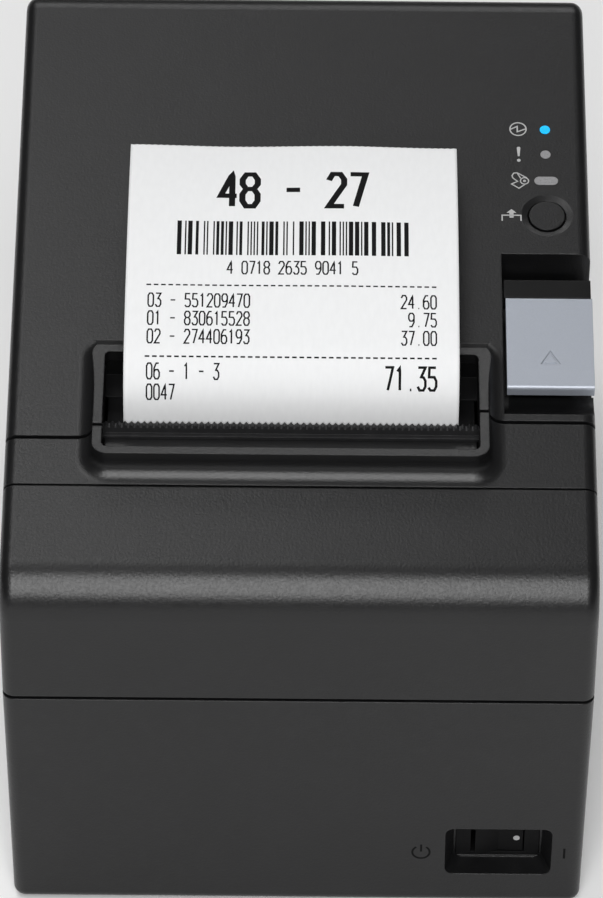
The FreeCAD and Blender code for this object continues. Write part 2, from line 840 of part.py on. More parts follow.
def tub(name, inset, low):
    """A block with drafted sides, smaller at its foot, its upright edges rounded."""
    body = new_body(name)
    wedge = body.newObject("PartDesign::AdditiveWedge", name + "_wedge")
    wedge.Placement = FreeCAD.Placement(FreeCAD.Vector(), FreeCAD.Rotation(X_AXIS, 90))
    bind(wedge, "Ymin", low)
    bind(wedge, "Ymax", SEAM_LOW)
    for axis, size, draft in (("X", "body_width", "side_draft"), ("Z", "body_depth", "end_draft")):
        for end, taper in (("", draft), ("2", "0")):
            half = "(%s / 2 - %s - %s)" % (size, taper, inset)
            bind(wedge, axis + end + "min", "-" + half)
            bind(wedge, axis + end + "max", half)
    return round_edges(body, "edge_round - %s / 2" % inset, lambda e: e.BoundBox.ZLength > NEAR)


def outer_tub():
    body = tub("tub_outer", "0", "foot_height")
    bottom = number("foot_height")
    return round_edges(body, "base_round", lambda e: abs(e.CenterOfMass.z - bottom) < NEAR)


def switch_recess():
    """Tapered recess in the front wall, widest at the surface, its corners rounded."""
    body = new_body("recess")
    wedge = body.newObject("PartDesign::AdditiveWedge", "recess_wedge")
    bind(wedge, "Ymin", "-body_depth / 2")
    bind(wedge, "Ymax", SWITCH_Y)
    for axis, centre, size, taper in (("X", "switch_x", "recess_width", "recess_taper"),
                                      ("Z", "switch_z", "recess_height", "recess_lean")):
        low, high = about(centre, size)
        bind(wedge, axis + "min", low)
        bind(wedge, axis + "max", high)
        bind(wedge, axis + "2min", "%s + %s" % (low, taper))
        bind(wedge, axis + "2max", "%s - %s" % (high, taper))
    return round_edges(body, "recess_round", lambda e: e.BoundBox.YLength > NEAR)


def lower_case():
    hollow = cut("tub_hollow", outer_tub(), tub("tub_inner", "wall", FLOOR_TOP))
    columns = [rod("column", "z", ("mouth_x + (%s) * %s" % (side, COLUMN_X), y, FLOOR_MID), "column_radius",
                   "frame_low - " + FLOOR_MID) for side, y in COLUMNS]
    standoffs = [rod("standoff", "z", ("(%s) * standoff_x" % side, y, FLOOR_MID), "standoff_radius",
                     "board_height - " + FLOOR_MID) for side, y in STANDOFFS]
    ribs = [box("side_rib", mirrored("0", "body_width / 2 - 2 * wall", "body_width / 2 - wall / 2", side),
                about(y, "rib_width"), ("seam_height - rib_drop", SEAM_TOP)) for side, y in RIBS]
    switch_boss = box("switch_boss", about("switch_x", "recess_width + 2 * wall"),
                      ("wall - body_depth / 2", SWITCH_Y + " + wall"),
                      (FLOOR_MID, "switch_z + recess_height / 2 + wall"))
    bay_boss = box("bay_boss", about("0", "bay_width + 2 * wall"), (BAY_FRONT, "body_depth / 2 - wall"),
                   (FLOOR_MID, "bay_top + wall"))
    whole = fuse("tub_whole", hollow, switch_boss, bay_boss, *columns, *standoffs, *ribs)
    hole = box("switch_hole", about("switch_x", "switch_width"), ("-body_depth", SWITCH_Y + " + 2 * wall"),
               about("switch_z", "switch_height"))
    bay = box("bay", about("0", "bay_width"), (BAY_FRONT + " - wall", FAR), (FLOOR_TOP, "bay_top"))
    hatch = box("hatch", about("0", "hatch_width"), about("0", "hatch_depth"), ("0", FLOOR_TOP + " + wall"))
    return cut("tub_cut", whole, switch_recess(), hole, bay, hatch)


node("lower_case", lower_case())
node("bottom_plate", box("hatch_plate", about("0", "hatch_width + 2 * hatch_lap"),
                         about("0", "hatch_depth + 2 * hatch_lap"),
                         (FLOOR_TOP, FLOOR_TOP + " + hatch_sheet")))
node("rubber_feet", group("feet", [
    rod("foot", "z", ("(%s) * foot_x" % side, "(%s) * foot_y" % end, "0"), "foot_radius", "foot_height")
    for side in SIDES for end in SIDES]))

# Mechanism frame: two side plates with slots for the platen, joined by a cross plate

IDLER = polar(PLATEN, "%s + %s" % (pitch("platen_teeth"), pitch("idler_teeth")), "idler_angle")
MOTOR = polar(IDLER, "%s + %s" % (pitch("idler_teeth"), pitch("motor_teeth")), "motor_angle")
PLATE_X = "(mouth_x - frame_half)"
GEAR_END = "(%s - sheet / 2 - bushing_length / 2 - side_gap / 2)" % PLATE_X
GEAR_X = "(%s - gear_width)" % GEAR_END
FRAME_X = about("mouth_x", "2 * frame_half")


def mechanism_frame():
    cross = box("frame_cross", FRAME_X, ("frame_rear - flange / 2", "frame_rear"),
                ("frame_low", "frame_low + sheet"))
    plates, slots = [cross], []
    slot = "(bushing_radius + slot_gap)"
    for side in SIDES:
        plates.append(prism("frame_plate", "YZ", [
            ("frame_front", "frame_low"),
            ("frame_rear", "frame_low"),
            ("frame_rear", "frame_high"),
            ("frame_front + flange", "frame_high"),
            ("frame_front", "frame_high - flange"),
        ], *mirrored("mouth_x", "frame_half", "frame_half + sheet", side)))
        foot_x = mirrored("mouth_x", "frame_half", "frame_half + sheet + flange", side)
        plates.append(box("frame_foot", foot_x, ("frame_front", "frame_rear"),
                          ("frame_low", "frame_low + sheet")))
        x = mirrored("mouth_x", "frame_half - sheet", "frame_half + 2 * sheet", side)
        slots.append(box("frame_slot", x, about("platen_y", "2 * " + slot), ("platen_z", "2 * platen_z")))
        slots.append(rod("frame_seat", "x", (x[0], *PLATEN), slot, "3 * sheet"))
    holes = [rod("frame_hole", "x", ("-body_width", *centre), radius, "body_width") for centre, radius in (
        (IDLER, "stud_radius"), (MOTOR, "motor_shaft + slot_gap"))]
    return cut("frame_cut", fuse("frame_whole", *plates), *slots, *holes)


node("mechanism_frame", mechanism_frame())
node("frame_screws", group("screws", [
    rod("screw", "z", ("mouth_x + (%s) * %s" % (side, COLUMN_X), y, "frame_low + sheet"), "screw_radius",
        "screw_height") for side, y in COLUMNS]))

# Feed drive: motor pinion, idler and platen gear outside the left plate


def gear(name, teeth, module, width, phase, bore):
    """Spur gear about Z with one tooth at the angle phase."""
    body = new_body(name)
    radius = pitch(teeth, module)
    hub = body.newObject("PartDesign::AdditiveCylinder", name + "_hub")
    bind(hub, "Radius", "%s - 1.1 * %s" % (radius, module))
    bind(hub, "Height", width)
    root = ("(%s - 1.3 * %s)" % (radius, module), "100 / %s" % teeth)
    tip = ("(%s + 0.75 * %s)" % (radius, module), "35 / %s" % teeth)
    corners = [polar(("0", "0"), reach, "%s %s %s" % (phase, sign, spread))
               for (reach, spread), sign in ((root, "-"), (tip, "-"), (tip, "+"), (root, "+"))]
    tooth = pad(body, "XY", corners, "0", width)
    doc.recompute()
    ring = body.newObject("PartDesign::PolarPattern", name + "_ring")
    ring.Originals = [tooth]
    ring.Axis = (origin_part(body, "Z_Axis"), [""])
    ring.Angle = 360
    bind(ring, "Occurrences", teeth)
    body.Tip = ring
    hole = body.newObject("PartDesign::SubtractiveCylinder", name + "_bore")
    bind(hole, "Radius", bore)
    bind(hole, "Height", width)
    body.Tip = hole
    return body


def feed_gear(name, teeth, centre, phase, bore):
    wheel = gear(name, teeth, "gear_module", "gear_width", phase, bore)
    return place(wheel, GEAR_X, *centre, TURNS["x"])


def idler_stud():
    start = "(%s - side_gap)" % GEAR_X
    axle = rod("stud_axle", "x", (start, *IDLER), "stud_radius", "%s - %s" % (PLATE_X, start))
    return fuse("stud", axle, rod("stud_head", "x", (start + " - sheet", *IDLER), "stud_head", "sheet"))


def feed_motor():
    can = prism("motor_can", "YZ", rectangle(about(MOTOR[0], "motor_side"), about(MOTOR[1], "motor_side")),
                PLATE_X, PLATE_X + " + motor_length")
    return round_edges(can, "motor_side / 6", lambda e: runs_along(e, X_AXIS))


# The idler has a tooth towards the motor pinion, and the platen gear is turned to mesh with it
MOTOR_PHASE = "motor_angle + 180 + 180 / motor_teeth"
PLATEN_PHASE = ("idler_angle - (motor_angle - idler_angle - 180) * idler_teeth / platen_teeth"
                " + 180 / platen_teeth")
node("platen_gear", feed_gear("platen_wheel", "platen_teeth", PLATEN, PLATEN_PHASE, "shaft_radius"))
node("idler_gear", feed_gear("idler_wheel", "idler_teeth", IDLER, "motor_angle", "stud_radius + running_gap"))
node("motor_pinion", feed_gear("motor_wheel", "motor_teeth", MOTOR, MOTOR_PHASE, "motor_shaft"))
node("idler_stud", idler_stud())
node("feed_motor", feed_motor())
node("motor_shaft", rod("motor_axle", "x", (GEAR_X, *MOTOR), "motor_shaft", "%s - %s" % (PLATE_X, GEAR_X)))

# Platen in its holder under the cover, with the fixed blade

SHAFT_START = "(%s - side_gap)" % GEAR_X
FIXED_LOW = "(blade_height + blade_thickness + blade_gap)"
BRIDGE_LOW = "(%s + blade_thickness)" % FIXED_LOW
ARM_OUT = "(frame_half - bushing_length / 2 + sheet / 2 - arm_gap)"


def sleeve(name, start, length, radius, bore):
    """A tube about the platen's axis."""
    return cut(name, rod(name + "_solid", "x", (start, *PLATEN), radius, length),
               rod(name + "_hole", "x", (start, *PLATEN), bore, length))


def platen_holder():
    bridge = box("holder_bridge", about("mouth_x", "2 * " + ARM_OUT),
                 ("platen_y - holder_front", "platen_y + holder_rear"), (BRIDGE_LOW, HOLDER_TOP))
    arms = [prism("holder_arm", "YZ", [
        ("platen_y - holder_front", "platen_z - holder_drop"),
        ("platen_y + holder_front", "platen_z - holder_drop"),
        ("platen_y + holder_rear", HOLDER_TOP),
        ("platen_y - holder_front", HOLDER_TOP),
    ], *mirrored("mouth_x", "paper_width / 2 + holder_inset", ARM_OUT, side)) for side in SIDES]
    bore = rod("holder_bore", "x", (SHAFT_START, *PLATEN), "shaft_radius + running_gap", "body_width")
    return cut("holder_cut", fuse("holder_whole", bridge, *arms), bore)


node("platen_shaft", rod("platen_axle", "x", (SHAFT_START, *PLATEN), "shaft_radius",
                         "mouth_x + frame_half + 2 * sheet - %s" % SHAFT_START))
node("platen_roller", sleeve("roller", "mouth_x - paper_width / 2 - roller_over",
                             "paper_width + 2 * roller_over", "platen_radius", "shaft_radius"))
node("platen_bushings", group("bushings", [
    sleeve("bushing", "mouth_x + (%s) * (frame_half + sheet / 2) - bushing_length / 2" % side,
           "bushing_length", "bushing_radius", "shaft_radius + running_gap") for side in SIDES]))
node("platen_holder", platen_holder())
node("fixed_blade", box("fixed_edge", about("mouth_x", "2 * blade_half"),
                        (PAPER_Y + " + tear_gap", "platen_y + platen_radius"), (FIXED_LOW, BRIDGE_LOW)))

# Print head in front of the paper, pressed on by a leaf spring between the side plates

HEAD_REAR = "(%s - paper_thickness / 2 - head_gap)" % PAPER_Y
HEAD_FRONT = "(%s - head_thickness)" % HEAD_REAR
SINK_FRONT = "(%s - sink_thickness)" % HEAD_FRONT


def heat_sink():
    plate = box("sink_plate", FRAME_X, (SINK_FRONT, HEAD_FRONT), ("sink_low", "sink_high"))
    groove = "sink_thickness / 2"
    grooves = [box("sink_groove", FRAME_X, (SINK_FRONT + " - 1", SINK_FRONT + " + " + groove),
                   about("sink_low + %d * sink_thickness" % step, groove)) for step in (1, 2)]
    return cut("sink_cut", plate, *grooves)


def head_spring():
    bows = [("mouth_x + (%s) * frame_half" % step, "%s - (%s)^2 * spring_bow" % (SINK_FRONT, step))
            for step in ("-1", "-0.75", "-0.5", "-0.25", "0", "0.25", "0.5", "0.75", "1")]
    front = [(x, y + " - spring_sheet") for x, y in reversed(bows)]
    return prism("spring_leaf", "XY", bows + front, "sink_high - 1.4 * spring_height",
                 "sink_high - 0.4 * spring_height")


node("thermal_head", box("head_plate", about("mouth_x", "paper_width + 4 * roller_over"),
                         (HEAD_FRONT, HEAD_REAR), ("head_low", "head_high")))
node("head_heat_sink", heat_sink())
node("head_spring", head_spring())

# Cutter: base plate, sliding blade with a rack, pinion, geared hand knob and motor

CUTTER = ("cutter_x", "cutter_y")
PINION_R = pitch("cutter_teeth", "cutter_module")
KNOB = polar(CUTTER, "%s + %s" % (PINION_R, pitch("knob_teeth", "cutter_module")), "knob_angle")
KNOB_PHASE = ("knob_angle + 180 - (180 - knob_angle) * cutter_teeth / knob_teeth + 180 / knob_teeth")
BLADE_EDGE = "(%s - blade_back)" % PAPER_Y
BLADE_FRONT = "(%s - blade_length)" % BLADE_EDGE
RACK_X = "(cutter_x - %s)" % PINION_R
RACK_PITCH = "(pi * cutter_module)"
BASE_TOP = "(wheel_low - cutter_gap)"
BASE_LOW = "(%s - cutter_plate)" % BASE_TOP
AXLE = "(wheel_axle - running_gap)"


def rack_tooth(step):
    y = "cutter_y + (%s) * %s" % (step, RACK_PITCH)
    root, tip = RACK_X + " - 1.2 * cutter_module", RACK_X + " + 0.7 * cutter_module"
    return prism("rack_tooth", "XY", [
        (root, y + " - 0.27 * " + RACK_PITCH),
        (tip, y + " - 0.1 * " + RACK_PITCH),
        (tip, y + " + 0.1 * " + RACK_PITCH),
        (root, y + " + 0.27 * " + RACK_PITCH),
    ], "wheel_low", "wheel_low + wheel_width")


def movable_blade():
    plate = prism("blade_plate", "XY", [
        ("mouth_x - blade_half", BLADE_FRONT),
        ("mouth_x + blade_half", BLADE_FRONT),
        ("mouth_x + blade_half", BLADE_EDGE),
        ("mouth_x", BLADE_EDGE + " - blade_vee"),
        ("mouth_x - blade_half", BLADE_EDGE),
    ], "blade_height", "blade_height + blade_thickness")
    bar = box("rack_bar", (RACK_X + " - 4 * cutter_module", RACK_X + " - 1.1 * cutter_module"),
              ("cutter_y - 4 * " + RACK_PITCH, "cutter_y - 0.1 * " + RACK_PITCH),
              ("wheel_low", "blade_height"))
    return fuse("blade_whole", plate, bar, *[rack_tooth(step) for step in ("-3.5", "-2.5", "-1.5", "-0.5")])


def cutter_base():
    plate = box("cutter_plate", FRAME_X, ("cutter_front", SINK_FRONT + " - slot_gap"), (BASE_LOW, BASE_TOP))
    axles = [rod("cutter_axle", "z", (*centre, BASE_LOW), AXLE, "cutter_plate + cutter_gap + wheel_width")
             for centre in (CUTTER, KNOB)]
    return fuse("cutter_base_whole", plate, *axles)


def cutter_wheel(name, teeth, centre, phase):
    wheel = gear(name, teeth, "cutter_module", "wheel_width", phase, "wheel_axle")
    return place(wheel, *centre, "wheel_low")


node("movable_blade", movable_blade())
node("cutter_pinion", cutter_wheel("pinion_wheel", "cutter_teeth", CUTTER, "180"))
node("cutter_knob", cutter_wheel("knob_wheel", "knob_teeth", KNOB, KNOB_PHASE))
node("cutter_base", cutter_base())
node("cutter_motor", rod("cutter_can", "z", (*KNOB, BASE_LOW + " - cutter_motor_height"),
                         "cutter_motor_radius", "cutter_motor_height"))

# Tear bar on the ledge in front of the paper


def tear_bar():
    body = new_body("tear")
    x = about("mouth_x", "2 * tear_half")
    pad(body, "XZ", rectangle(x, ("tear_low", "tear_height - tear_tooth")), TEAR_FRONT, TEAR_REAR)
    root = "tear_height - 1.3 * tear_tooth"
    tooth = pad(body, "XZ", [(x[0], root), (x[0] + " + tear_pitch", root),
                             (x[0] + " + tear_pitch / 2", "tear_height")], TEAR_FRONT, TEAR_REAR)
    doc.recompute()
    teeth = body.newObject("PartDesign::LinearPattern", "tear_row")
    teeth.Originals = [tooth]
    teeth.Direction = (origin_part(body, "X_Axis"), [""])
    bind(teeth, "Length", "2 * tear_half - tear_pitch")
    bind(teeth, "Occurrences", "floor(2 * tear_half / tear_pitch)")
    body.Tip = teeth
    sole = box("tear_sole", x, (TEAR_FRONT + " - tear_step", TEAR_FRONT),
               ("ledge_height", "ledge_height + tear_sole"))
    return fuse("tear_whole", body, sole)


node("tear_bar", tear_bar())

# Paper: roll with core, web up to the blade, and the receipt that stands out of the mouth

ROLL = ("roll_y", "(tray_rise - tray_radius + roll_radius + roll_gap)")
PAPER_X = about("mouth_x", "paper_width")
ROLL_REACH = "(roll_radius + roll_gap)"
PLATEN_REACH = "(platen_radius + paper_gap)"
WEB_SPAN = "sqrt((roll_y - platen_y)^2 + (platen_z - %s)^2)" % ROLL[1]
WEB_LEAN = "atan((platen_z - %s) / (roll_y - platen_y)) / 1 deg" % ROLL[1]
WEB_OUT = "(180 - %s + acos((%s - %s) / %s) / 1 deg)" % (WEB_LEAN, ROLL_REACH, PLATEN_REACH, WEB_SPAN)
WEB_RUN = "sqrt((%s)^2 - (%s - %s)^2)" % (WEB_SPAN, ROLL_REACH, PLATEN_REACH)
RECEIPT_LOW = "(blade_height + blade_thickness + 2 * blade_gap)"


def tube(name, radius, bore):
    return cut(name, rod(name + "_solid", "x", (PAPER_X[0], *ROLL), radius, "paper_width"),
               rod(name + "_hole", "x", (PAPER_X[0], *ROLL), bore, "paper_width"))


def turned(obj, x, y, z, angle):
    """Put an object at a point, turned about X by an angle bound to the sheet."""
    place(obj, x, y, z, FreeCAD.Rotation(X_AXIS, number(angle)))
    bind(obj, "Placement.Rotation.Angle", angle)
    return obj


def band(name, centre, radii, start, sweep, x):
    """Part of a ring about an X axis between two radii; negative radii start half a turn on."""
    body = new_body(name)
    turn = body.newObject("PartDesign::Revolution", name + "_turn")
    turn.Profile = outline(body, "XY", rectangle(x, radii), "0")
    turn.ReferenceAxis = (origin_part(body, "X_Axis"), [""])
    bind(turn, "Angle", sweep)
    return turned(body, "0", *centre, start) if start else place(body, "0", *centre)


def slanted(name, x, length, low, high):
    """A flat strip along the paper's straight run, from low to high off the roll's axis."""
    strip = block(name, (x, ("0", length), (low, high)))
    return turned(strip, x[0], *polar(ROLL, low, WEB_OUT), WEB_OUT + " - 90")


def paper_web():
    run = slanted("web_run", PAPER_X, WEB_RUN, ROLL_REACH, ROLL_REACH + " + paper_thickness")
    wrap = band("web_wrap", PLATEN, ("-%s - paper_thickness" % PLATEN_REACH, "-" + PLATEN_REACH), None,
                WEB_OUT + " - 180", PAPER_X)
    rise = box("web_rise", PAPER_X, about(PAPER_Y, "paper_thickness"),
               ("platen_z", "blade_height - blade_gap"))
    return fuse("web", run, wrap, rise)


def receipt():
    """Straight up past the tear bar, a tight bend to the rear, then a long gentle arc."""
    turn = "(90 - slope_angle - receipt_lift)"
    sweep = "(receipt_lift + receipt_droop)"
    bend = (PAPER_Y + " + bend_radius", "tear_height")
    far = polar(bend, "bend_radius - sweep_radius", "180 - " + turn)
    rise = box("receipt_rise", PAPER_X, about(PAPER_Y, "paper_thickness"), (RECEIPT_LOW, "tear_height"))
    bow = band("receipt_bow", bend, about("bend_radius", "paper_thickness"), "180 - " + turn, turn, PAPER_X)
    tail = band("receipt_tail", far, about("sweep_radius", "paper_thickness"),
                "180 - %s - %s" % (turn, sweep), sweep, PAPER_X)
    return fuse("receipt_whole", rise, bow, tail)


node("paper_roll", tube("roll_tube", "roll_radius", "core_radius"))
node("paper_core", tube("core_tube", "core_radius", "core_bore"))
node("paper_web", paper_web())
node("receipt", receipt())

# Roll tray: trough, ramp under the web and side plates that stand on the floor

TRAY_OUT = "(tray_radius + tray_wall)"
TRAY_LEFT = "(mouth_x - tray_half - tray_wall)"


def roll_tray():
    x = about("mouth_x", "2 * tray_half")
    trough = band("tray_trough", ("roll_y", "tray_rise"), ("-" + TRAY_OUT, "-tray_radius"), "tray_start",
                  "tray_sweep", x)
    ramp_low = ROLL_REACH + " + paper_thickness + ramp_gap"
    ramp = slanted("tray_ramp", x, WEB_RUN + " - ramp_short", ramp_low, ramp_low + " + tray_wall")
    low, shoulder = "tray_rise - " + TRAY_OUT, "tray_rise - tray_radius / 2"
    sides = [prism("tray_side", "YZ", [
        ("roll_y - " + TRAY_OUT, "tray_top"),
        ("roll_y - " + TRAY_OUT, shoulder),
        ("roll_y - tray_leg", low),
        ("roll_y - tray_leg", FLOOR_TOP),
        ("roll_y + tray_leg", FLOOR_TOP),
        ("roll_y + tray_leg", low),
        ("roll_y + " + TRAY_OUT, shoulder),
        ("roll_y + " + TRAY_OUT, "tray_top"),
    ], *mirrored("mouth_x", "tray_half", "tray_half + tray_wall", side)) for side in SIDES]
    return fuse("tray_whole", trough, ramp, *sides)


node("roll_tray", roll_tray())
node("paper_end_sensor", box("end_sensor", (TRAY_LEFT + " - sensor_depth", TRAY_LEFT),
                             about("roll_y", "sensor_width"),
                             about(ROLL[1] + " - sensor_drop", "sensor_height")))
FRAME_RIGHT = "(mouth_x + frame_half + sheet)"
node("cover_sensor", box("open_sensor", (FRAME_RIGHT, FRAME_RIGHT + " + sensor_depth"),
                         ("frame_front + flange", "frame_front + flange + sensor_width"),
                         ("head_low - sensor_height / 4", "head_low + 3 * sensor_height / 4")))

# Main board, sockets and the plate round them at the rear

BOARD_TOP = "(board_height + board)"
SOCKET_REAR = "(%s + socket_proud)" % BAY_FRONT
SOCKETS = {
    "power_inlet": ("inlet_x", "inlet_width", "inlet_height", "inlet_port_width", "inlet_port_height"),
    "usb_socket": ("usb_x", "usb_width", "usb_height", "usb_port_width", "usb_port_height"),
    "network_socket": ("network_x", "network_width", "network_height",
                       "network_port_width", "network_port_height"),
    "drawer_socket": ("drawer_x", "drawer_width", "drawer_height", "drawer_port_width", "drawer_port_height"),
}


def socket(label):
    """Socket on the main board, with its port open to the rear."""
    x, width, height, port_width, port_height = SOCKETS[label]
    case = box(label + "_case", about(x, width), (SOCKET_REAR + " - socket_depth", SOCKET_REAR),
               (BOARD_TOP, "%s + %s" % (BOARD_TOP, height)))
    port = box(label + "_port", about(x, port_width), (SOCKET_REAR + " - port_depth", FAR),
               about("%s + %s / 2" % (BOARD_TOP, height), port_height))
    return cut(label + "_cut", case, port)


def interface_plate():
    plate = box("bay_plate", about("0", "bay_width + 2 * wall"), (BAY_FRONT + " - bay_sheet", BAY_FRONT),
                (FLOOR_TOP, "bay_top + wall"))
    holes = [box("bay_hole", about(x, "%s + 2 * feed_gap" % width), ("0", FAR),
                 (BOARD_TOP + " - feed_gap", "%s + %s + feed_gap" % (BOARD_TOP, height)))
             for x, width, height, port_width, port_height in SOCKETS.values()]
    return cut("bay_plate_cut", plate, *holes)


node("main_board", box("board_plate", about("0", "2 * board_half"), ("board_front", BOARD_REAR),
                       ("board_height", BOARD_TOP)))
for label in SOCKETS:
    node(label, socket(label))
node("interface_plate", interface_plate())

# Operation panel: board, lamps, switch and feed button

FLANGE_LOW = "(-wall - slot_gap - feed_flange)"


def feed_button():
    cap = peg("feed_cap", "panel_x", "feed_along", FLANGE_LOW, "feed_radius", "-feed_sink - " + FLANGE_LOW)
    lip = peg("feed_lip", "panel_x", "feed_along", FLANGE_LOW, "feed_radius + feed_flange", "feed_flange")
    return fuse("feed_whole", cap, lip)


node("panel_board", slope_box("panel_plate", about("panel_x", "2 * panel_half"),
                              ("pocket_crest + wall + side_gap", "power_lamp_along + panel_rear"),
                              ("-panel_drop - board", "-panel_drop")))
for label, along in (("power_lamp", "power_lamp_along"), ("error_lamp", "error_lamp_along")):
    node(label, peg(label + "_pipe", "panel_x", along, "-panel_drop", "lamp_radius",
                    "panel_drop + lamp_proud"))
node("paper_lamp", pill("paper_lamp_pipe", "lamp_radius", "-panel_drop", "lamp_proud"))
node("feed_switch", slope_box("feed_tact", about("panel_x", "tact_size"), about("feed_along", "tact_size"),
                              ("-panel_drop", "tact_height - panel_drop")))
node("feed_button", feed_button())

# Cover-open lever: dark arm on a pin, silver plate on top

ARM_X = ("lever_left + arm_inset", LUG_X[0] + " - side_gap")


def lever_arm():
    arm = slope_prism("arm_side", [
        ("lever_lip + scoop_reach", "-lever_plate"),
        ("lever_lip + 2 * scoop_reach", "-lever_plate - scoop_reach"),
        ("lever_pivot_along - lever_pivot_depth", "-lever_pivot_depth - 0.9 * lever_hub"),
        ("lever_pivot_along + lever_tail", "-lever_pivot_depth - lever_hub / 2"),
        ("lever_pivot_along + lever_tail", "lever_hub / 10 - lever_pivot_depth"),
        ("lever_pivot_along + lever_hub / 6", "0.9 * lever_hub - lever_pivot_depth"),
        ("lever_rear - side_gap", "-lever_plate"),
    ], ARM_X)
    head = slope_box("arm_head", ("lever_left - pocket_gap / 2", "body_width / 2 - head_side"),
                     ("lever_rear", "lever_rear + head_length"), ("-lever_plate - head_depth", "-feed_sink"))
    neck = slope_box("arm_neck", ARM_X, ("lever_rear - side_gap", "lever_rear + head_length - side_gap"),
                     ("-lever_pivot_depth", "-lever_plate"))
    length = "(%s) - (%s)" % (ARM_X[1], ARM_X[0])
    hub = rod("arm_hub", "x", (ARM_X[0], *LEVER_PIVOT), "lever_hub", length)
    bore = rod("arm_bore", "x", (ARM_X[0], *LEVER_PIVOT), "lever_pin + running_gap", length)
    return cut("arm_cut", fuse("arm_whole", arm, hub, head, neck), bore)


def mark_triangle(name, inset):
    """A triangle on the lever plate that points to the rear, drawn in by inset."""
    low = "mark_along + %s" % inset
    half = "(mark_width / 2 - 1.9 * %s)" % inset
    corners = [
        ("panel_x - " + half, low),
        ("panel_x + " + half, low),
        ("panel_x", "mark_along + mark_height - 1.7 * %s" % inset),
    ]
    return tilt(prism(name, "XY", corners, "feed_gap - mark_depth", "lever_plate"), "0", "0", "0")


def lever_plate():
    """Flush plate that rises to its front lip, with an engraved triangle."""
    body = prism("plate_side", "YZ", [
        ("lever_lip", "-lever_plate"),
        ("lever_lip", "lip_rise"),
        ("lever_lip + lip_length", "feed_gap"),
        ("lever_rear", "feed_gap"),
        ("lever_rear", "-lever_plate"),
    ], "lever_left", "body_width / 2")
    lip, rear = number("lever_lip"), number("lever_rear")
    round_edges(body, "lever_edge", lambda e: runs_along(e, X_AXIS) and e.CenterOfMass.z > 0
                and min(abs(e.CenterOfMass.y - lip), abs(e.CenterOfMass.y - rear)) < NEAR)
    tilt(body, "0", "0", "0")
    border = cut("mark_border", mark_triangle("mark_outer", "0"), mark_triangle("mark_inner", "mark_line"))
    return cut("plate_marked", body, border)


node("lever_arm", lever_arm())
node("lever_plate", lever_plate())
node("lever_pin", rod("pivot_pin", "x", (POCKET_X + " - wall", *LEVER_PIVOT), "lever_pin",
                      "%s - %s + wall" % (LUG_X[1], POCKET_X)))

# Power switch in its recess, the rocker pressed on its right end

ROCKER_Y = "(%s + rocker_pivot)" % SWITCH_Y


def switch_housing():
    case = box("switch_case", about("switch_x", "switch_width - feed_gap"),
               (SWITCH_Y, SWITCH_Y + " + switch_depth"), about("switch_z", "switch_height - feed_gap"))
    room = box("rocker_room", about("switch_x", "rocker_width + rocker_gap"),
               (SWITCH_Y + " - wall", SWITCH_Y + " + rocker_room"),
               about("switch_z", "rocker_height + 2 * feed_gap"))
    bore = rod("rocker_bore", "z", ("switch_x", ROCKER_Y, "switch_z - switch_height"),
               "rocker_pin + running_gap", "2 * switch_height")
    return cut("switch_cut", case, room, bore)


def power_rocker():
    half = "rocker_width / 2"
    body = prism("rocker", "XY", [
        ("-" + half, "-rocker_horn"),
        ("0", "-rocker_saddle"),
        (half, "-rocker_horn"),
        ("0.8 * " + half, "rocker_tail"),
        ("-0.8 * " + half, "rocker_tail"),
    ], "switch_z - rocker_height / 2", "switch_z + rocker_height / 2")
    place(body, "switch_x", ROCKER_Y, "0", FreeCAD.Rotation(Z_AXIS, number("rocker_tilt")))
    bind(body, "Placement.Rotation.Angle", "rocker_tilt")
    pins = rod("rocker_pins", "z", ("switch_x", ROCKER_Y, "switch_z - switch_height / 2 + feed_gap / 2"),
               "rocker_pin", "switch_height - feed_gap")
    return fuse("rocker_whole", body, pins)


node("switch_housing", switch_housing())
node("power_rocker", power_rocker())

# Check every object, then write one file per sub-part

doc.recompute()
for obj in doc.Objects:
    if "Invalid" in obj.State or "Error" in obj.State:
        raise RuntimeError("%s failed: %s" % (obj.Label, obj.State))
for obj in NODES:
    if obj.Shape.isNull() or not obj.Shape.isValid():
        raise RuntimeError("%s has no valid shape" % obj.Label)
os.makedirs("parts", exist_ok=True)
for obj in NODES:
    obj.Shape.exportStep("parts/%s.step" % obj.Label)
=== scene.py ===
"""Looks of a desktop receipt printer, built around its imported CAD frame."""

import json
import math
import random

import bpy
from mathutils import Matrix, Vector, noise


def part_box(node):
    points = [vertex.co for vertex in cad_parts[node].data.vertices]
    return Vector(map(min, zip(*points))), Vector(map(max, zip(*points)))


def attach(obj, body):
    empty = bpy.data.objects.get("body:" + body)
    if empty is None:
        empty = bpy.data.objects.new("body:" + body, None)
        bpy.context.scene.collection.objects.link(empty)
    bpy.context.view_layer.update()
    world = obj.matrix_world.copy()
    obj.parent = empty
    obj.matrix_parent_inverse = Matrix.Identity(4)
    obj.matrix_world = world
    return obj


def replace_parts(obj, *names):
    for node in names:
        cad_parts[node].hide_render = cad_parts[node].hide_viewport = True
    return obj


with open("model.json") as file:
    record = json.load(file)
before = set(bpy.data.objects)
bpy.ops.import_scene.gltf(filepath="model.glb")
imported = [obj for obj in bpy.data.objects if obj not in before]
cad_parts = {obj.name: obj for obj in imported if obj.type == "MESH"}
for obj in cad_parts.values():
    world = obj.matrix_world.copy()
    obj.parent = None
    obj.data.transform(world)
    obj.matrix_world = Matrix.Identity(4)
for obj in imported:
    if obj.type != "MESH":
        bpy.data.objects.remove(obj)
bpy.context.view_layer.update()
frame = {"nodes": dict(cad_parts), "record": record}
nodes = frame["nodes"]
scene = bpy.context.scene
MM = 0.001

# Camera, fitted to the photograph: aim, elevation, roll and focal length

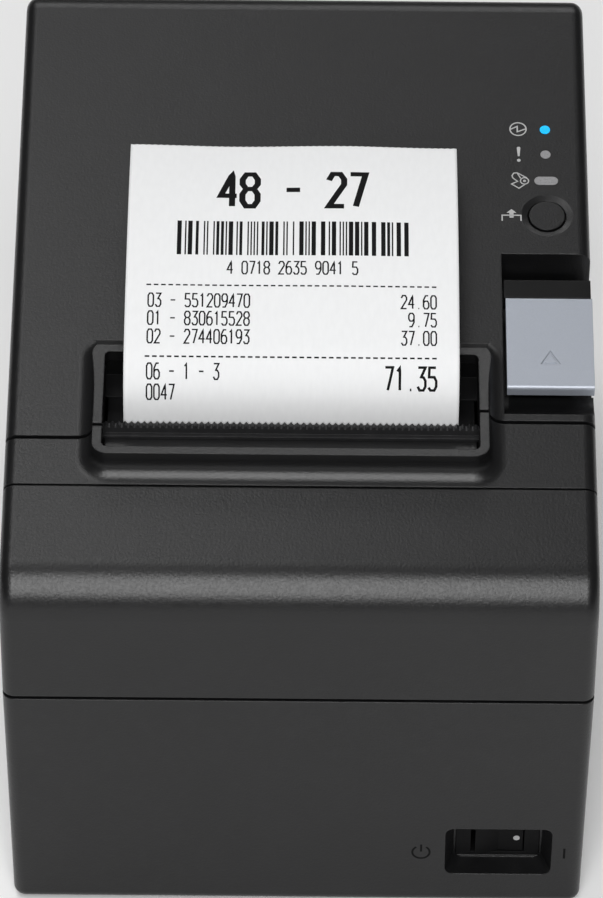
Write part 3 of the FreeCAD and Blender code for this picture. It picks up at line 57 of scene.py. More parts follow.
IMAGE_HEIGHT = 898
SENSOR = 36.0
FOCAL_PIXELS = 5154.4
AIM = Vector((0.000195, -0.005, 0.066395))
ELEVATION = math.radians(40.97)
ROLL = math.radians(0.519)
DISTANCE = 1.2904


def add_camera():
    data = bpy.data.cameras.new("camera")
    data.sensor_width = SENSOR
    data.lens = FOCAL_PIXELS * SENSOR / IMAGE_HEIGHT
    data.clip_end = 50
    camera = bpy.data.objects.new("camera", data)
    back = Vector((0, -math.cos(ELEVATION), math.sin(ELEVATION)))
    turn = Matrix.Rotation(math.pi / 2 - ELEVATION, 4, "X") @ Matrix.Rotation(ROLL, 4, "Z")
    camera.matrix_world = Matrix.Translation(AIM + DISTANCE * back) @ turn
    scene.collection.objects.link(camera)
    scene.camera = camera


# Materials


class Shader:
    """A material under construction: a Principled shader and the nodes that drive it."""

    def __init__(self, name):
        self.name = name
        self.material = bpy.data.materials.new(name)
        self.material.use_nodes = True
        self.tree = self.material.node_tree
        self.main = self.tree.nodes["Principled BSDF"]
        self.place = self.add("ShaderNodeTexCoord").outputs["Object"]

    def add(self, kind, **settings):
        made = self.tree.nodes.new(kind)
        for key, value in settings.items():
            setattr(made, key, value)
        return made

    def feed(self, socket, value):
        if isinstance(value, bpy.types.NodeSocket):
            self.tree.links.new(value, socket)
        else:
            socket.default_value = value

    def noise(self, scale, detail=2.0, stretch=None):
        """Noise with features about 1 / scale metres across, drawn out along an axis by stretch."""
        texture = self.add("ShaderNodeTexNoise")
        place = self.place
        if stretch:
            mapping = self.add("ShaderNodeMapping")
            self.feed(mapping.inputs["Vector"], place)
            mapping.inputs["Scale"].default_value = stretch
            place = mapping.outputs["Vector"]
        self.feed(texture.inputs["Vector"], place)
        texture.inputs["Scale"].default_value = scale
        texture.inputs["Detail"].default_value = detail
        return texture.outputs["Fac"]

    def ramp(self, value, low, high, out_low, out_high):
        spread = self.add("ShaderNodeMapRange")
        self.feed(spread.inputs["Value"], value)
        keys = ("From Min", "From Max", "To Min", "To Max")
        for key, level in zip(keys, (low, high, out_low, out_high)):
            spread.inputs[key].default_value = level
        return spread.outputs["Result"]

    def blend(self, factor, first, second):
        mix = self.add("ShaderNodeMix", data_type="RGBA")
        self.feed(mix.inputs["Factor"], factor)
        for socket, colour in ((mix.inputs[6], first), (mix.inputs[7], second)):
            self.feed(socket, colour)
        return mix.outputs[2]

    def bumps(self, *layers, bevel=None):
        """Stack height layers (value, depth in metres) on the surface normal."""
        normal = None
        if bevel:
            rounded = self.add("ShaderNodeBevel", samples=4)
            rounded.inputs["Radius"].default_value = bevel
            normal = rounded.outputs["Normal"]
        for value, depth in layers:
            bump = self.add("ShaderNodeBump")
            self.feed(bump.inputs["Height"], value)
            bump.inputs["Distance"].default_value = depth
            if normal:
                self.feed(bump.inputs["Normal"], normal)
            normal = bump.outputs["Normal"]
        self.feed(self.main.inputs["Normal"], normal)

    def edges(self, low, high):
        """One on sharp outward edges, nothing on flat faces."""
        geometry = self.add("ShaderNodeNewGeometry")
        return self.ramp(geometry.outputs["Pointiness"], low, high, 0, 1)

    def seen(self):
        """One for what the camera sees directly, in a reflection or through glass."""
        path = self.add("ShaderNodeLightPath")
        total = path.outputs["Is Camera Ray"]
        for kind in ("Is Glossy Ray", "Is Transmission Ray"):
            either = self.add("ShaderNodeMath", operation="MAXIMUM")
            self.feed(either.inputs[0], total)
            self.feed(either.inputs[1], path.outputs[kind])
            total = either.outputs[0]
        return total


NOISE_BAND = (0.3, 0.7)
ROUGHNESS_SPREAD = 0.05
SCUFF_SCALE, SCUFF_BAND = 400, (0.45, 0.7)
EDGE_BAND = (0.52, 0.6)
WORN_TONE = 2.2


def tone(colour, factor):
    return tuple(min(1.0, c * factor) for c in colour) + (1,)


def surface(name, colour, roughness, grain, spread=0.12, metallic=0.0, specular=0.5, depth=0.00001,
            bevel=0.0002, mottle=70, stretch=None, wear=0.0):
    """Grained surface: mottled colour, uneven roughness, bump of the given grain, worn edges."""
    shader = Shader(name)
    cloud = shader.ramp(shader.noise(mottle, 4, stretch), *NOISE_BAND, 0, 1)
    shade = shader.blend(cloud, tone(colour, 1 - spread), tone(colour, 1 + spread))
    if wear:
        scuffs = shader.ramp(shader.noise(SCUFF_SCALE, 3), *SCUFF_BAND, 0, wear)
        worn = shader.add("ShaderNodeMath", operation="MULTIPLY")
        shader.feed(worn.inputs[0], shader.edges(*EDGE_BAND))
        shader.feed(worn.inputs[1], scuffs)
        shade = shader.blend(worn.outputs[0], shade, tone(colour, WORN_TONE))
    shader.feed(shader.main.inputs["Base Color"], shade)
    fine = shader.noise(grain, 3, stretch)
    uneven = shader.ramp(fine, *NOISE_BAND, roughness - ROUGHNESS_SPREAD, roughness + ROUGHNESS_SPREAD)
    shader.feed(shader.main.inputs["Roughness"], uneven)
    shader.main.inputs["Metallic"].default_value = metallic
    shader.main.inputs["Specular IOR Level"].default_value = specular
    shader.bumps((fine, depth), bevel=bevel)
    return shader


def finish_slots():
    """One procedural material for each of the record's slots."""
    made = (
        surface("case_plastic", (0.006, 0.006, 0.0064), 0.34, 1700, depth=0.00005, wear=0.25, specular=0.42,
                bevel=0.0004),
        surface("inner_plastic", (0.0045, 0.0045, 0.0048), 0.5, 1800, wear=0.2, specular=0.12),
        surface("dark_steel", (0.022, 0.022, 0.023), 0.42, 1500, spread=0.1, metallic=0.3, specular=0.35,
                stretch=(0.05, 1, 1), wear=0.3),
        surface("lever_paint", (0.36, 0.385, 0.435), 0.38, 5200, spread=0.03, depth=0.000006, metallic=0.35,
                mottle=3000),
        surface("rubber", (0.016, 0.016, 0.017), 0.75, 2400, depth=0.00004, specular=0.3),
        surface("plated_steel", (0.56, 0.56, 0.54), 0.34, 900, spread=0.08, metallic=1.0,
                stretch=(1, 0.06, 1)),
        surface("bright_steel", (0.64, 0.64, 0.65), 0.24, 1500, spread=0.05, metallic=1.0,
                stretch=(0.04, 1, 1)),
        surface("motor_metal", (0.3, 0.3, 0.31), 0.38, 700, spread=0.08, metallic=0.9),
        surface("aluminium", (0.7, 0.7, 0.71), 0.32, 1100, spread=0.05, metallic=1.0, stretch=(0.03, 1, 1)),
        surface("head_ceramic", (0.6, 0.58, 0.53), 0.22, 600, spread=0.05),
        surface("gear_plastic", (0.74, 0.72, 0.66), 0.42, 1600, spread=0.04),
        paper_finish("receipt_paper", (0.8, 0.805, 0.81)),
        surface("core_card", (0.46, 0.34, 0.22), 0.85, 500, spread=0.15, depth=0.00003, specular=0.2,
                stretch=(0.2, 1, 1)),
        board_finish("circuit_board"),
        lamp_finish("lamp_lit", (0.0, 0.16, 0.42), glow=(0.0, 0.48, 0.85), strength=0.9),
        lamp_finish("lamp_dark", (0.25, 0.25, 0.255)),
    )
    return {shader.name: shader.material for shader in made}


def paper_finish(name, colour):
    """Thermal paper: faint fibres, smooth coated side."""
    shader = Shader(name)
    fibres = shader.noise(900, 5, (1, 0.35, 0.35))
    shade = shader.blend(shader.ramp(fibres, 0.35, 0.65, 0, 1), tone(colour, 0.985), tone(colour, 1.01))
    shader.feed(shader.main.inputs["Base Color"], shade)
    shader.feed(shader.main.inputs["Roughness"], shader.ramp(fibres, *NOISE_BAND, 0.55, 0.68))
    shader.main.inputs["Specular IOR Level"].default_value = 0.3
    shader.bumps((fibres, 0.000012))
    return shader


def board_finish(name):
    """Solder mask, paler over the copper tracks under it."""
    shader = Shader(name)
    tracks = shader.add("ShaderNodeTexBrick")
    shader.feed(tracks.inputs["Vector"], shader.place)
    tracks.inputs["Scale"].default_value = 120
    tracks.inputs["Mortar Size"].default_value = 0.05
    cloud = shader.ramp(shader.noise(60, 3), *NOISE_BAND, 0, 1)
    mask = shader.blend(cloud, (0.02, 0.12, 0.05, 1), (0.03, 0.17, 0.075, 1))
    shade = shader.blend(tracks.outputs["Fac"], mask, (0.06, 0.26, 0.11, 1))
    shader.feed(shader.main.inputs["Base Color"], shade)
    shader.feed(shader.main.inputs["Roughness"], shader.ramp(shader.noise(300), *NOISE_BAND, 0.28, 0.4))
    shader.bumps((tracks.outputs["Fac"], 0.00003))
    return shader


def lamp_finish(name, colour, glow=None, strength=0.0):
    """Diffusing light pipe with a faint swirl in the moulding, alight where it has a glow."""
    shader = Shader(name)
    swirl = shader.ramp(shader.noise(2500, 2), *NOISE_BAND, 0, 1)
    shader.feed(shader.main.inputs["Base Color"], shader.blend(swirl, tone(colour, 0.9), tone(colour, 1.1)))
    shader.feed(shader.main.inputs["Roughness"], shader.ramp(swirl, 0, 1, 0.25, 0.4))
    shader.bumps((swirl, 0.000003))
    if glow:
        light = shader.blend(swirl, tone(glow, 0.85), tone(glow, 1.1))
        shader.feed(shader.main.inputs["Emission Color"], light)
        shader.main.inputs["Emission Strength"].default_value = strength
    return shader


def dress_nodes():
    """The CAD nodes take their slots' materials, apart from the darker lever arm, whose dark colour is
    painted shade so that its flat head looks shaded.
    """
    # Painted shade: the arm is made darker than the case so that its flat head looks as if it sloped away
    # from the light.
    arm = surface("arm_plastic_painted_shade", (0.003, 0.003, 0.0032), 0.34, 1500, specular=0.2, bevel=0.0005)
    special = {"lever_arm": arm.material}
    for row in frame["record"]["subparts"]:
        mesh = nodes[row["node"]].data
        mesh.materials.clear()
        mesh.materials.append(special.get(row["node"], SLOTS[row["material_slot"]]))


SLOTS = finish_slots()
PRINT_INK = surface("print_ink", (0.006, 0.006, 0.0065), 0.7, 2600, spread=0.3, specular=0.1,
                    bevel=None).material
MARK_INK = surface("mark_ink", (0.42, 0.42, 0.42), 0.5, 2000, spread=0.06, bevel=None).material
# Near-black ink of the printed switch marks; the same material is painted shade in the screw slots.
DARK_INK_AND_SHADE = surface("dark_ink_and_shade", (0.003, 0.003, 0.003), 0.6, 2000, spread=0.2, specular=0.1,
                   bevel=None).material
GOLD = surface("contact_gold", (0.78, 0.56, 0.24), 0.28, 1500, spread=0.06, metallic=1.0,
               bevel=None).material

# Making pieces


def add_piece(name, verts, faces, material, body, slot, smooth=True):
    mesh = bpy.data.meshes.new(name)
    mesh.from_pydata([tuple(v) for v in verts], [], faces)
    mesh.validate()
    mesh.polygons.foreach_set("use_smooth", [smooth] * len(mesh.polygons))
    mesh.materials.append(material)
    piece = bpy.data.objects.new(name, mesh)
    scene.collection.objects.link(piece)
    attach(piece, body)
    return piece


def thicken(piece, thickness, offset):
    solid = piece.modifiers.new("thickness", "SOLIDIFY")
    solid.thickness = thickness
    solid.offset = offset
    return piece


def grid(rows):
    """Vertices and quads of a grid given as rows of points."""
    width = len(rows[0])
    verts = [point for row in rows for point in row]
    faces = [(r * width + c, r * width + c + 1, (r + 1) * width + c + 1, (r + 1) * width + c)
             for r in range(len(rows) - 1) for c in range(width - 1)]
    return verts, faces


def spaced(low, high, step):
    count = max(1, math.ceil(abs(high - low) / step))
    return [low + (high - low) * i / count for i in range(count + 1)]


# Flat marks: strokes and filled outlines on a surface given by two coordinates in millimetres


def ribbon(points, width, closed):
    """Pairs of points left and right of a path, mitred at its corners."""
    count = len(points)
    pairs = []
    for i, point in enumerate(points):
        before = points[i - 1] if i or closed else None
        after = points[(i + 1) % count] if i + 1 < count or closed else None
        normals = []
        for start, end in ((before, point), (point, after)):
            if start and end:
                run = (Vector(end) - Vector(start)).normalized()
                normals.append(Vector((-run.y, run.x)))
        mean = sum(normals, Vector((0, 0))).normalized()
        reach = width / 2 / max(0.5, mean.dot(normals[0]))
        pairs.append((Vector(point) + reach * mean, Vector(point) - reach * mean))
    return pairs


def drawn(strokes, fills, step, where):
    """Mesh data of strokes, each a path, its width and whether it closes, and of filled outlines."""
    verts, faces = [], []
    for path, width, closed in strokes:
        fine = []
        ends = path + path[:1] if closed else path
        for start, end in zip(ends, ends[1:]):
            run = (Vector(end) - Vector(start)).length
            for part in spaced(0, 1, step / max(run, step / 100))[:-1]:
                fine.append(tuple(Vector(start).lerp(Vector(end), part)))
        if not closed:
            fine.append(path[-1])
        pairs = ribbon(fine, width, closed)
        first = len(verts)
        for left, right in pairs:
            verts += [where(*left), where(*right)]
        links = len(pairs) if closed else len(pairs) - 1
        for i in range(links):
            a, b = first + 2 * i, first + 2 * ((i + 1) % len(pairs))
            faces.append((a, a + 1, b + 1, b))
    for outline in fills:
        faces.append(tuple(range(len(verts), len(verts) + len(outline))))
        verts += [where(*point) for point in outline]
    return verts, faces


def circle(x, y, radius, count=28):
    return [(x + radius * math.cos(2 * math.pi * i / count), y + radius * math.sin(2 * math.pi * i / count))
            for i in range(count)]


# The sloped top rises from CORNER, given by its depth and height, and marks are SKIN thick

SLOPE = math.radians(14)
CORNER = (-99.5, 104.1)
SKIN = 0.02


def on_slope(x, along, out=SKIN):
    """A point of the sloped top, from its place along and out of the slope in millimetres."""
    return Vector((x, CORNER[0] + along * math.cos(SLOPE) - out * math.sin(SLOPE),
                   CORNER[1] + along * math.sin(SLOPE) + out * math.cos(SLOPE))) * MM


FRONT_LOW, FRONT_HIGH = (-99.0, 1.5), (-99.5, 69.4)


def on_front(x, z, out=SKIN):
    """A point of the lower case's drafted front, from its place across and up in millimetres."""
    share = (z - FRONT_LOW[1]) / (FRONT_HIGH[1] - FRONT_LOW[1])
    return Vector((x, FRONT_LOW[0] + (FRONT_HIGH[0] - FRONT_LOW[0]) * share - out, z)) * MM


def add_marks(name, where, body, ink, strokes, fills=()):
    verts, faces = drawn(strokes, fills, MARK_STEP, where)
    thicken(add_piece(name, verts, faces, ink, body, "lamp_dark", False), SKIN * MM, 0)


def moved(points, place):
    return [(place[0] + a, place[1] + b) for a, b in points]


MARK_LINE, FINE_LINE, MARK_STEP = 0.32, 0.28, 1.0
POWER_MARK, ERROR_MARK, PAPER_MARK, FEED_MARK = (52.97, 138.0), (53.0, 130.2), (53.0, 122.0), (50.94, 111.0)


def add_panel_marks():
    """Pictures beside the three lamps and the feed button."""
    zigzag = [(-2.0, -0.15), (-0.2, 0.85), (-0.2, -0.85), (2.0, 0.15)]
    add_marks("power_mark", on_slope, "cover", MARK_INK,
              [(moved(circle(0, 0, 2.0), POWER_MARK), MARK_LINE, True),
               (moved(zigzag, POWER_MARK), MARK_LINE, False)])
    drop = [(-0.22, -0.7), (0.22, -0.7), (0.45, 1.9), (0.25, 2.2), (-0.25, 2.2), (-0.45, 1.9)]
    add_marks("error_mark", on_slope, "cover", MARK_INK, [],
              [moved(drop, ERROR_MARK), moved(circle(0, -2.0, 0.45, 16), ERROR_MARK)])
    sheet = [(0.35, 0.6), (-0.5, 2.3), (-1.3, 2.2), (-1.75, 1.4), (-1.5, 0.6), (-0.4, -0.35), (-1.9, -1.2),
             (-0.1, -2.5), (1.6, -1.1)]
    back = [(-0.5, 2.3), (1.9, 0.75)]
    roll, core = circle(1.3, -0.2, 1.0, 20), circle(1.3, -0.2, 0.22, 10)
    add_marks("paper_mark", on_slope, "cover", MARK_INK,
              [(moved(path, PAPER_MARK), FINE_LINE, closed)
               for path, closed in ((sheet, False), (back, False), (roll, True), (core, True))])
    bracket = [(-2.3, -1.6), (-2.3, 0.15), (2.3, 0.15), (2.3, -1.6)]
    arrow = [(-0.5, -0.6), (0.5, -0.6), (0.5, 0.9), (1.2, 0.9), (0.0, 2.0), (-1.2, 0.9), (-0.5, 0.9)]
    add_marks("feed_mark", on_slope, "cover", MARK_INK,
              [(moved(bracket, FEED_MARK), MARK_LINE, False)], [moved(arrow, FEED_MARK)])


STANDBY_MARK, STANDBY_RADIUS, STANDBY_LINE = (30.06, 19.0), 2.1, 0.5
ON_MARK, ON_LINE = (64.8, 18.9), 0.55


def add_switch_marks():
    """A broken ring with a stroke left of the rocker, a stroke right of it."""
    ring = [(STANDBY_RADIUS * math.cos(math.radians(a)), STANDBY_RADIUS * math.sin(math.radians(a)))
            for a in range(125, 416, 10)]
    add_marks("standby_mark", on_front, "base", DARK_INK_AND_SHADE,
              [(moved(path, STANDBY_MARK), STANDBY_LINE, False) for path in (ring, [(0, 0.2), (0, 2.6)])])
    stroke = moved([(0, -1.7), (0, 1.7)], ON_MARK)
    add_marks("on_mark", on_front, "base", DARK_INK_AND_SHADE, [(stroke, ON_LINE, False)])


# Paper: the receipt with its print, the web under the cover and the roll

PAPER, STRIP_HALF = 0.07 * MM, 0.1 * MM
BEND, SWEEP = 16.0 * MM, 170.0 * MM
WAVE, WAVES = 0.25 * MM, 3.1
LIFT, DROOP = math.radians(8), math.radians(13)
TURN = math.pi / 2 - SLOPE - LIFT
strip_low, strip_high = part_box("receipt")
PAPER_LEFT, PAPER_RIGHT = strip_low.x, strip_high.x
PAPER_Y = strip_low.y + STRIP_HALF
TEAR_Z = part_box("tear_bar")[1].z
TAIL_LENGTH, BEND_LENGTH = SWEEP * (LIFT + DROOP), BEND * TURN
RISE_LENGTH = TEAR_Z - strip_low.z


def receipt_point(x, down, lift=0.0):
    """A point of the strip, down from its free end along the paper, lifted off its printed side."""
    bend = Vector((0, PAPER_Y + BEND, TEAR_Z))
    tight = math.pi - TURN
    if down < TAIL_LENGTH:
        angle, radius = tight - LIFT - DROOP + down / SWEEP, SWEEP
        centre = bend + (BEND - SWEEP) * Vector((0, math.cos(tight), math.sin(tight)))
    elif down < TAIL_LENGTH + BEND_LENGTH:
        angle, radius, centre = tight + (down - TAIL_LENGTH) / BEND, BEND, bend
    else:
        angle, radius = math.pi, BEND
        centre = bend - Vector((0, 0, down - TAIL_LENGTH - BEND_LENGTH))
    outward = Vector((0, math.cos(angle), math.sin(angle)))
    free = max(0.0, 1 - down / TAIL_LENGTH)
    wave = WAVE * free * math.cos(WAVES * (x - PAPER_LEFT) / (PAPER_RIGHT - PAPER_LEFT) * math.pi)
    point = centre + (radius + lift + wave) * outward
    point.x = x
    return point


TOOTH, TOOTH_DEPTH = 1.5 * MM, 0.15 * MM
TAIL_STEP, BEND_STEP, RISE_STEP = 2.5 * MM, 0.8 * MM, 4 * MM


def add_receipt():
    """The free strip, torn to small teeth at its end."""
    columns = spaced(PAPER_LEFT, PAPER_RIGHT, TOOTH / 2)
    rows = [[receipt_point(x, TOOTH_DEPTH * (i % 2)) for i, x in enumerate(columns)]]
    bend_end = TAIL_LENGTH + BEND_LENGTH
    places = spaced(2 * TOOTH_DEPTH, TAIL_LENGTH, TAIL_STEP)[:-1]
    places += spaced(TAIL_LENGTH, bend_end, BEND_STEP)[:-1]
    places += spaced(bend_end, bend_end + RISE_LENGTH, RISE_STEP)
    rows += [[receipt_point(x, down) for x in columns] for down in places]
    piece = add_piece("receipt_strip", *grid(rows), SLOTS["receipt_paper"], "cover", "receipt_paper")
    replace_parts(thicken(piece, PAPER, 0), "receipt")


DIGITS = {
    "0": [(0, 1), (0, 5), (1, 6), (3, 6), (4, 5), (4, 1), (3, 0), (1, 0), (0, 1)],
    "1": [(0.7, 4.9), (2, 6), (2, 0)],
    "2": [(0, 4.8), (1, 6), (3, 6), (4, 5), (4, 4), (0, 0), (4, 0)],
    "3": [(0.2, 6), (4, 6), (1.8, 3.5), (3, 3.4), (4, 2.5), (4, 1), (3, 0), (1, 0), (0, 1)],
    "4": [(3, 0), (3, 6), (0, 1.9), (4.2, 1.9)],
    "5": [(3.8, 6), (0.4, 6), (0.2, 3.5), (3, 3.5), (4, 2.5), (4, 1), (3, 0), (1, 0), (0, 0.8)],
    "6": [(3.6, 6), (1.6, 6), (0, 4), (0, 1), (1, 0), (3, 0), (4, 1), (4, 2.5), (3, 3.5), (1, 3.5),
          (0, 2.5)],
    "7": [(0, 6), (4, 6), (1.4, 0)],
    "8": [(1, 3.2), (0, 4.1), (0, 5), (1, 6), (3, 6), (4, 5), (4, 4.1), (3, 3.2), (1, 3.2), (0, 2.2), (0, 1),
          (1, 0), (3, 0), (4, 1), (4, 2.2), (3, 3.2)],
    "9": [(0.4, 0), (2.4, 0), (4, 2), (4, 5), (3, 6), (1, 6), (0, 5), (0, 3.5), (1, 2.5), (3, 2.5),
          (4, 3.5)],
    ".": [(1.6, 0.1), (2.4, 0.1)],
    "-": [(0.2, 3), (3.8, 3)],
    " ": [],
}
GLYPH_STEP, GLYPH_WIDE, GLYPH_TALL, GLYPH_NARROW = 5.7, 4.0, 6.0, 0.5


def written(text, x, down, tall, line, share):
    """Strokes of a line of figures: share says how much of the line stands left of x."""
    scale = tall / GLYPH_TALL
    across = scale * GLYPH_NARROW
    left = x - share * across * ((len(text) - 1) * GLYPH_STEP + GLYPH_WIDE)
    strokes = []
    for i, figure in enumerate(text):
        if DIGITS[figure]:
            path = [(left + across * (i * GLYPH_STEP + a), down - scale * b) for a, b in DIGITS[figure]]
            strokes.append((path, line, False))
    return strokes


# Rows of print: text, place across and down the strip, height, line and share left of the place

MIDDLE, LEFT, RIGHT = 39.75, 5.5, 74.0
SMALL = (3.7, 0.38)
ITEMS = (("03 - 551209470", "24.60"), ("01 - 830615528", "9.75"), ("02 - 274406193", "37.00"))
FIRST_ITEM, ITEM_STEP = 52.2, 5.0
PRINT_ROWS = [
    ("48 - 27", MIDDLE, 21.5, 11.0, 1.5, 0.5),
    ("4 0718 2635 9041 5", MIDDLE, 42.6, *SMALL, 0.5),
    ("71.35", RIGHT, 73.2, 5.4, 0.62, 1),
    ("06 - 1 - 3", LEFT, 71.0, *SMALL, 0),
    ("0047", LEFT, 76.0, *SMALL, 0),
]
for place, (item, price) in enumerate(ITEMS):
    item_down = FIRST_ITEM + place * ITEM_STEP
    PRINT_ROWS += [(item, LEFT, item_down, *SMALL, 0), (price, RIGHT, item_down, *SMALL, 1)]
DASH_ROWS, DASH_ENDS = (46.0, 65.6), (5.0, 73.0)
DASH, DASH_STEP, DASH_LINE = 1.1, 1.75, 0.4
BARS_TOP, BARS_FOOT, BARS_START, BARS_END = 26.5, 37.0, 12.0, 67.0
BAR_WIDTHS, BAR_GAPS = (0.35, 0.35, 0.7, 1.05), (0.4, 0.4, 0.8, 1.2)
PRINT_SEED = 41
PRINT_STEP, INK, INK_LIFT = 0.8, 0.01 * MM, 0.02 * MM


def on_receipt(x, down):
    return receipt_point(PAPER_LEFT + x * MM, down * MM, PAPER / 2 + INK_LIFT)


def drawn_bars():
    """Bars of drawn widths and gaps, which code nothing."""
    draw = random.Random(PRINT_SEED)
    bars = []
    x = BARS_START
    while x < BARS_END:
        width = draw.choice(BAR_WIDTHS)
        bars.append(([(x + width / 2, BARS_TOP), (x + width / 2, BARS_FOOT)], width, False))
        x += width + draw.choice(BAR_GAPS)
    return bars


def add_print():
    figures = [stroke for row in PRINT_ROWS for stroke in written(*row)]
    dashes = [([(x, down), (x + DASH, down)], DASH_LINE, False)
              for down in DASH_ROWS for x in spaced(*DASH_ENDS, DASH_STEP)]
    for name, strokes in (("print_figures", figures), ("print_dashes", dashes), ("print_bars", drawn_bars())):
        verts, faces = drawn(strokes, [], PRINT_STEP, on_receipt)
        thicken(add_piece(name, verts, faces, PRINT_INK, "cover", "receipt_paper", False), INK, 0)


def circle_of(node):
    """Centre and radius of a round node that lies across the printer."""
    low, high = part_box(node)
    return (low + high) / 2, (high.z - low.z) / 2


ROLL_GAP, PLATEN_GAP = 0.4 * MM, 0.22 * MM
WEB_COLUMN, WEB_RISE, WEB_ARC = 8 * MM, 2 * MM, math.radians(8)


def add_web():
    """The web from the roll to the platen, round its front and up to the blade."""
    roll, roll_radius = circle_of("paper_roll")
    platen, platen_radius = circle_of("platen_roller")
    far, near = roll_radius + ROLL_GAP, platen_radius + PLATEN_GAP
    span = math.hypot(roll.y - platen.y, roll.z - platen.z)
    lean = math.atan2(platen.z - roll.z, roll.y - platen.y)
    out = math.pi - lean + math.acos((far - near) / span)
    start = Vector((roll.y + far * math.cos(out), roll.z + far * math.sin(out)))
    end = Vector((platen.y + near * math.cos(out), platen.z + near * math.sin(out)))
    path = [start.lerp(end, t) for t in spaced(0, 1, 0.05)][:-1]
    path += [Vector((platen.y + near * math.cos(a), platen.z + near * math.sin(a)))
             for a in spaced(out, math.pi, WEB_ARC)]
    web_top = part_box("paper_web")[1].z
    path += [Vector((platen.y - near, z)) for z in spaced(platen.z, web_top, WEB_RISE)][1:]
    columns = spaced(PAPER_LEFT, PAPER_RIGHT, WEB_COLUMN)
    rows = [[Vector((x, point.x, point.y)) for x in columns] for point in path]
    piece = add_piece("paper_run", *grid(rows), SLOTS["receipt_paper"], "base", "receipt_paper")
    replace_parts(thicken(piece, PAPER, 0), "paper_web")


ROLL_RINGS, ROLL_SIDES = 46, 96
TURN_STEP, TURN_SINK, TURN_CHANGE = 0.12 * MM, 0.25 * MM, 0.37


def add_roll():
    """Wound roll: its ends show the edges of the turns, some sunk deeper than others."""
    centre, radius = circle_of("paper_roll")
    core = circle_of("paper_core")[1]
    low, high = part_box("paper_roll")
    profile = []
    for side, x in ((1, high.x), (-1, low.x)):
        ring = []
        for i in range(ROLL_RINGS + 1):
            sunk = TURN_STEP * (i % 2) + TURN_SINK * abs(noise.noise(Vector((side, i * TURN_CHANGE, 0))))
            ring.append((x - side * sunk, core + (radius - core) * i / ROLL_RINGS))
        profile += ring if side == 1 else ring[::-1]
    rows = []
    for step in range(ROLL_SIDES):
        angle = 2 * math.pi * step / ROLL_SIDES
        rows.append([Vector((x, centre.y + r * math.cos(angle), centre.z + r * math.sin(angle)))
                     for x, r in profile])
    verts, faces = grid(rows + [rows[0]])
    width = len(profile)
    count = ROLL_SIDES * width
    verts = verts[:count]
    faces = [tuple(i % count for i in face) for face in faces]
    faces += [(r * width + width - 1, r * width, (r + 1) % ROLL_SIDES * width,
               (r + 1) % ROLL_SIDES * width + width - 1) for r in range(ROLL_SIDES)]
    piece = add_piece("wound_roll", verts, faces, SLOTS["receipt_paper"], "roll", "receipt_paper", False)
    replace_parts(piece, "paper_roll")


ROCKER_DOT, DOT_RADIUS, DOT_SIDES, ROCKER_FACE = (53.4, 18.2), 0.8, 20, -93.23


def add_rocker_dot():
    """White dot near one end of the rocker."""
    dot = [Vector((a, ROCKER_FACE, b)) * MM for a, b in circle(*ROCKER_DOT, DOT_RADIUS, DOT_SIDES)]
    piece = add_piece("rocker_dot", dot, [tuple(range(DOT_SIDES))], MARK_INK, "rocker", "lamp_dark", False)
    thicken(piece, SKIN * MM, 0)


# Contacts inside the rear sockets and screws of their plate


def lofted(rings):
    """Closed skin over a row of rings of points."""
    width, count = len(rings[0]), len(rings)
    verts = [point for ring in rings for point in ring]
    faces = []
    for start in range(0, (count - 1) * width, width):
        for here in range(width):
            after = (here + 1) % width
            faces.append((start + here, start + after, start + width + after, start + width + here))
    faces += [tuple(reversed(range(width))), tuple(range((count - 1) * width, count * width))]
    return verts, faces


def joined(parts):
    verts, faces = [], []
    for points, loops in parts:
        faces += [tuple(i + len(verts) for i in loop) for loop in loops]
        verts += points
    return verts, faces


def section(points, x, y, z):
    """A ring of points across the depth of the printer, about a place in millimetres."""
    return [Vector((x + a, y, z + b)) * MM for a, b in points]


def rectangle(half_width, half_height):
    return [(-half_width, -half_height), (half_width, -half_height), (half_width, half_height),
            (-half_width, half_height)]


def pin(x, z, radius, start, end):
    """Round pin along the depth of a socket, its tip domed."""
    dome = [(end - radius * (1 - math.sin(a)), radius * math.cos(a)) for a in spaced(0, 1.4, 0.25)]
    return lofted([section(circle(0, 0, r, 14), x, y, z) for y, r in [(start, radius)] + dome])


def wire(x, path, half_width, half_thick):
    """Flat spring contact along a path of depths and heights."""
    return lofted([section(rectangle(half_width, half_thick), x, y, z) for y, z in path])


PORT_FLOOR, PORT_MOUTH = 82.1, 90.6
PIN_RADIUS, PIN_PLACES = 0.9, ((-2.8, -1.4), (0, 1.9), (2.8, -1.4))
TONGUE, TONGUE_TAPER, TONGUE_TIP = (2.6, 1.5), 0.85, 0.5
STRIP, STRIP_SHORT, STRIP_X, STRIP_Z = (0.45, 0.06), 1.2, 1.2, 1.53
SPRING, SPRING_STEP = (0.25, 0.15), 1.02
SPRING_PATH = ((PORT_FLOOR, 3.2), (84.5, 3.0), (89.6, 0.6), (PORT_MOUTH, 1.0))


def port(node):
    """Middle of a socket, across and up in millimetres."""
    low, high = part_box(node)
    return (low.x + high.x) / 2 / MM, (low.z + high.z) / 2 / MM


def add_power_pins():
    x, z = port("power_inlet")
    pins = [pin(x + a, z + b, PIN_RADIUS, PORT_FLOOR, PORT_MOUTH) for a, b in PIN_PLACES]
    add_piece("power_pins", *joined(pins), SLOTS["bright_steel"], "base", "bright_steel")


def add_usb_contacts():
    x, z = port("usb_socket")
    rings = []
    for y, size in ((PORT_FLOOR, 1.0), (PORT_MOUTH - TONGUE_TIP, 1.0), (PORT_MOUTH, TONGUE_TAPER)):
        rings.append(section(rectangle(size * TONGUE[0], size * TONGUE[1]), x, y, z))
    add_piece("usb_tongue", *lofted(rings), SLOTS["inner_plastic"], "base", "inner_plastic", False)
    strips = [wire(x + a, [(PORT_FLOOR, z + b), (PORT_MOUTH - STRIP_SHORT, z + b)], *STRIP)
              for b in (-STRIP_Z, STRIP_Z) for a in (-STRIP_X, STRIP_X)]
    add_piece("usb_contacts", *joined(strips), GOLD, "base", "bright_steel", False)


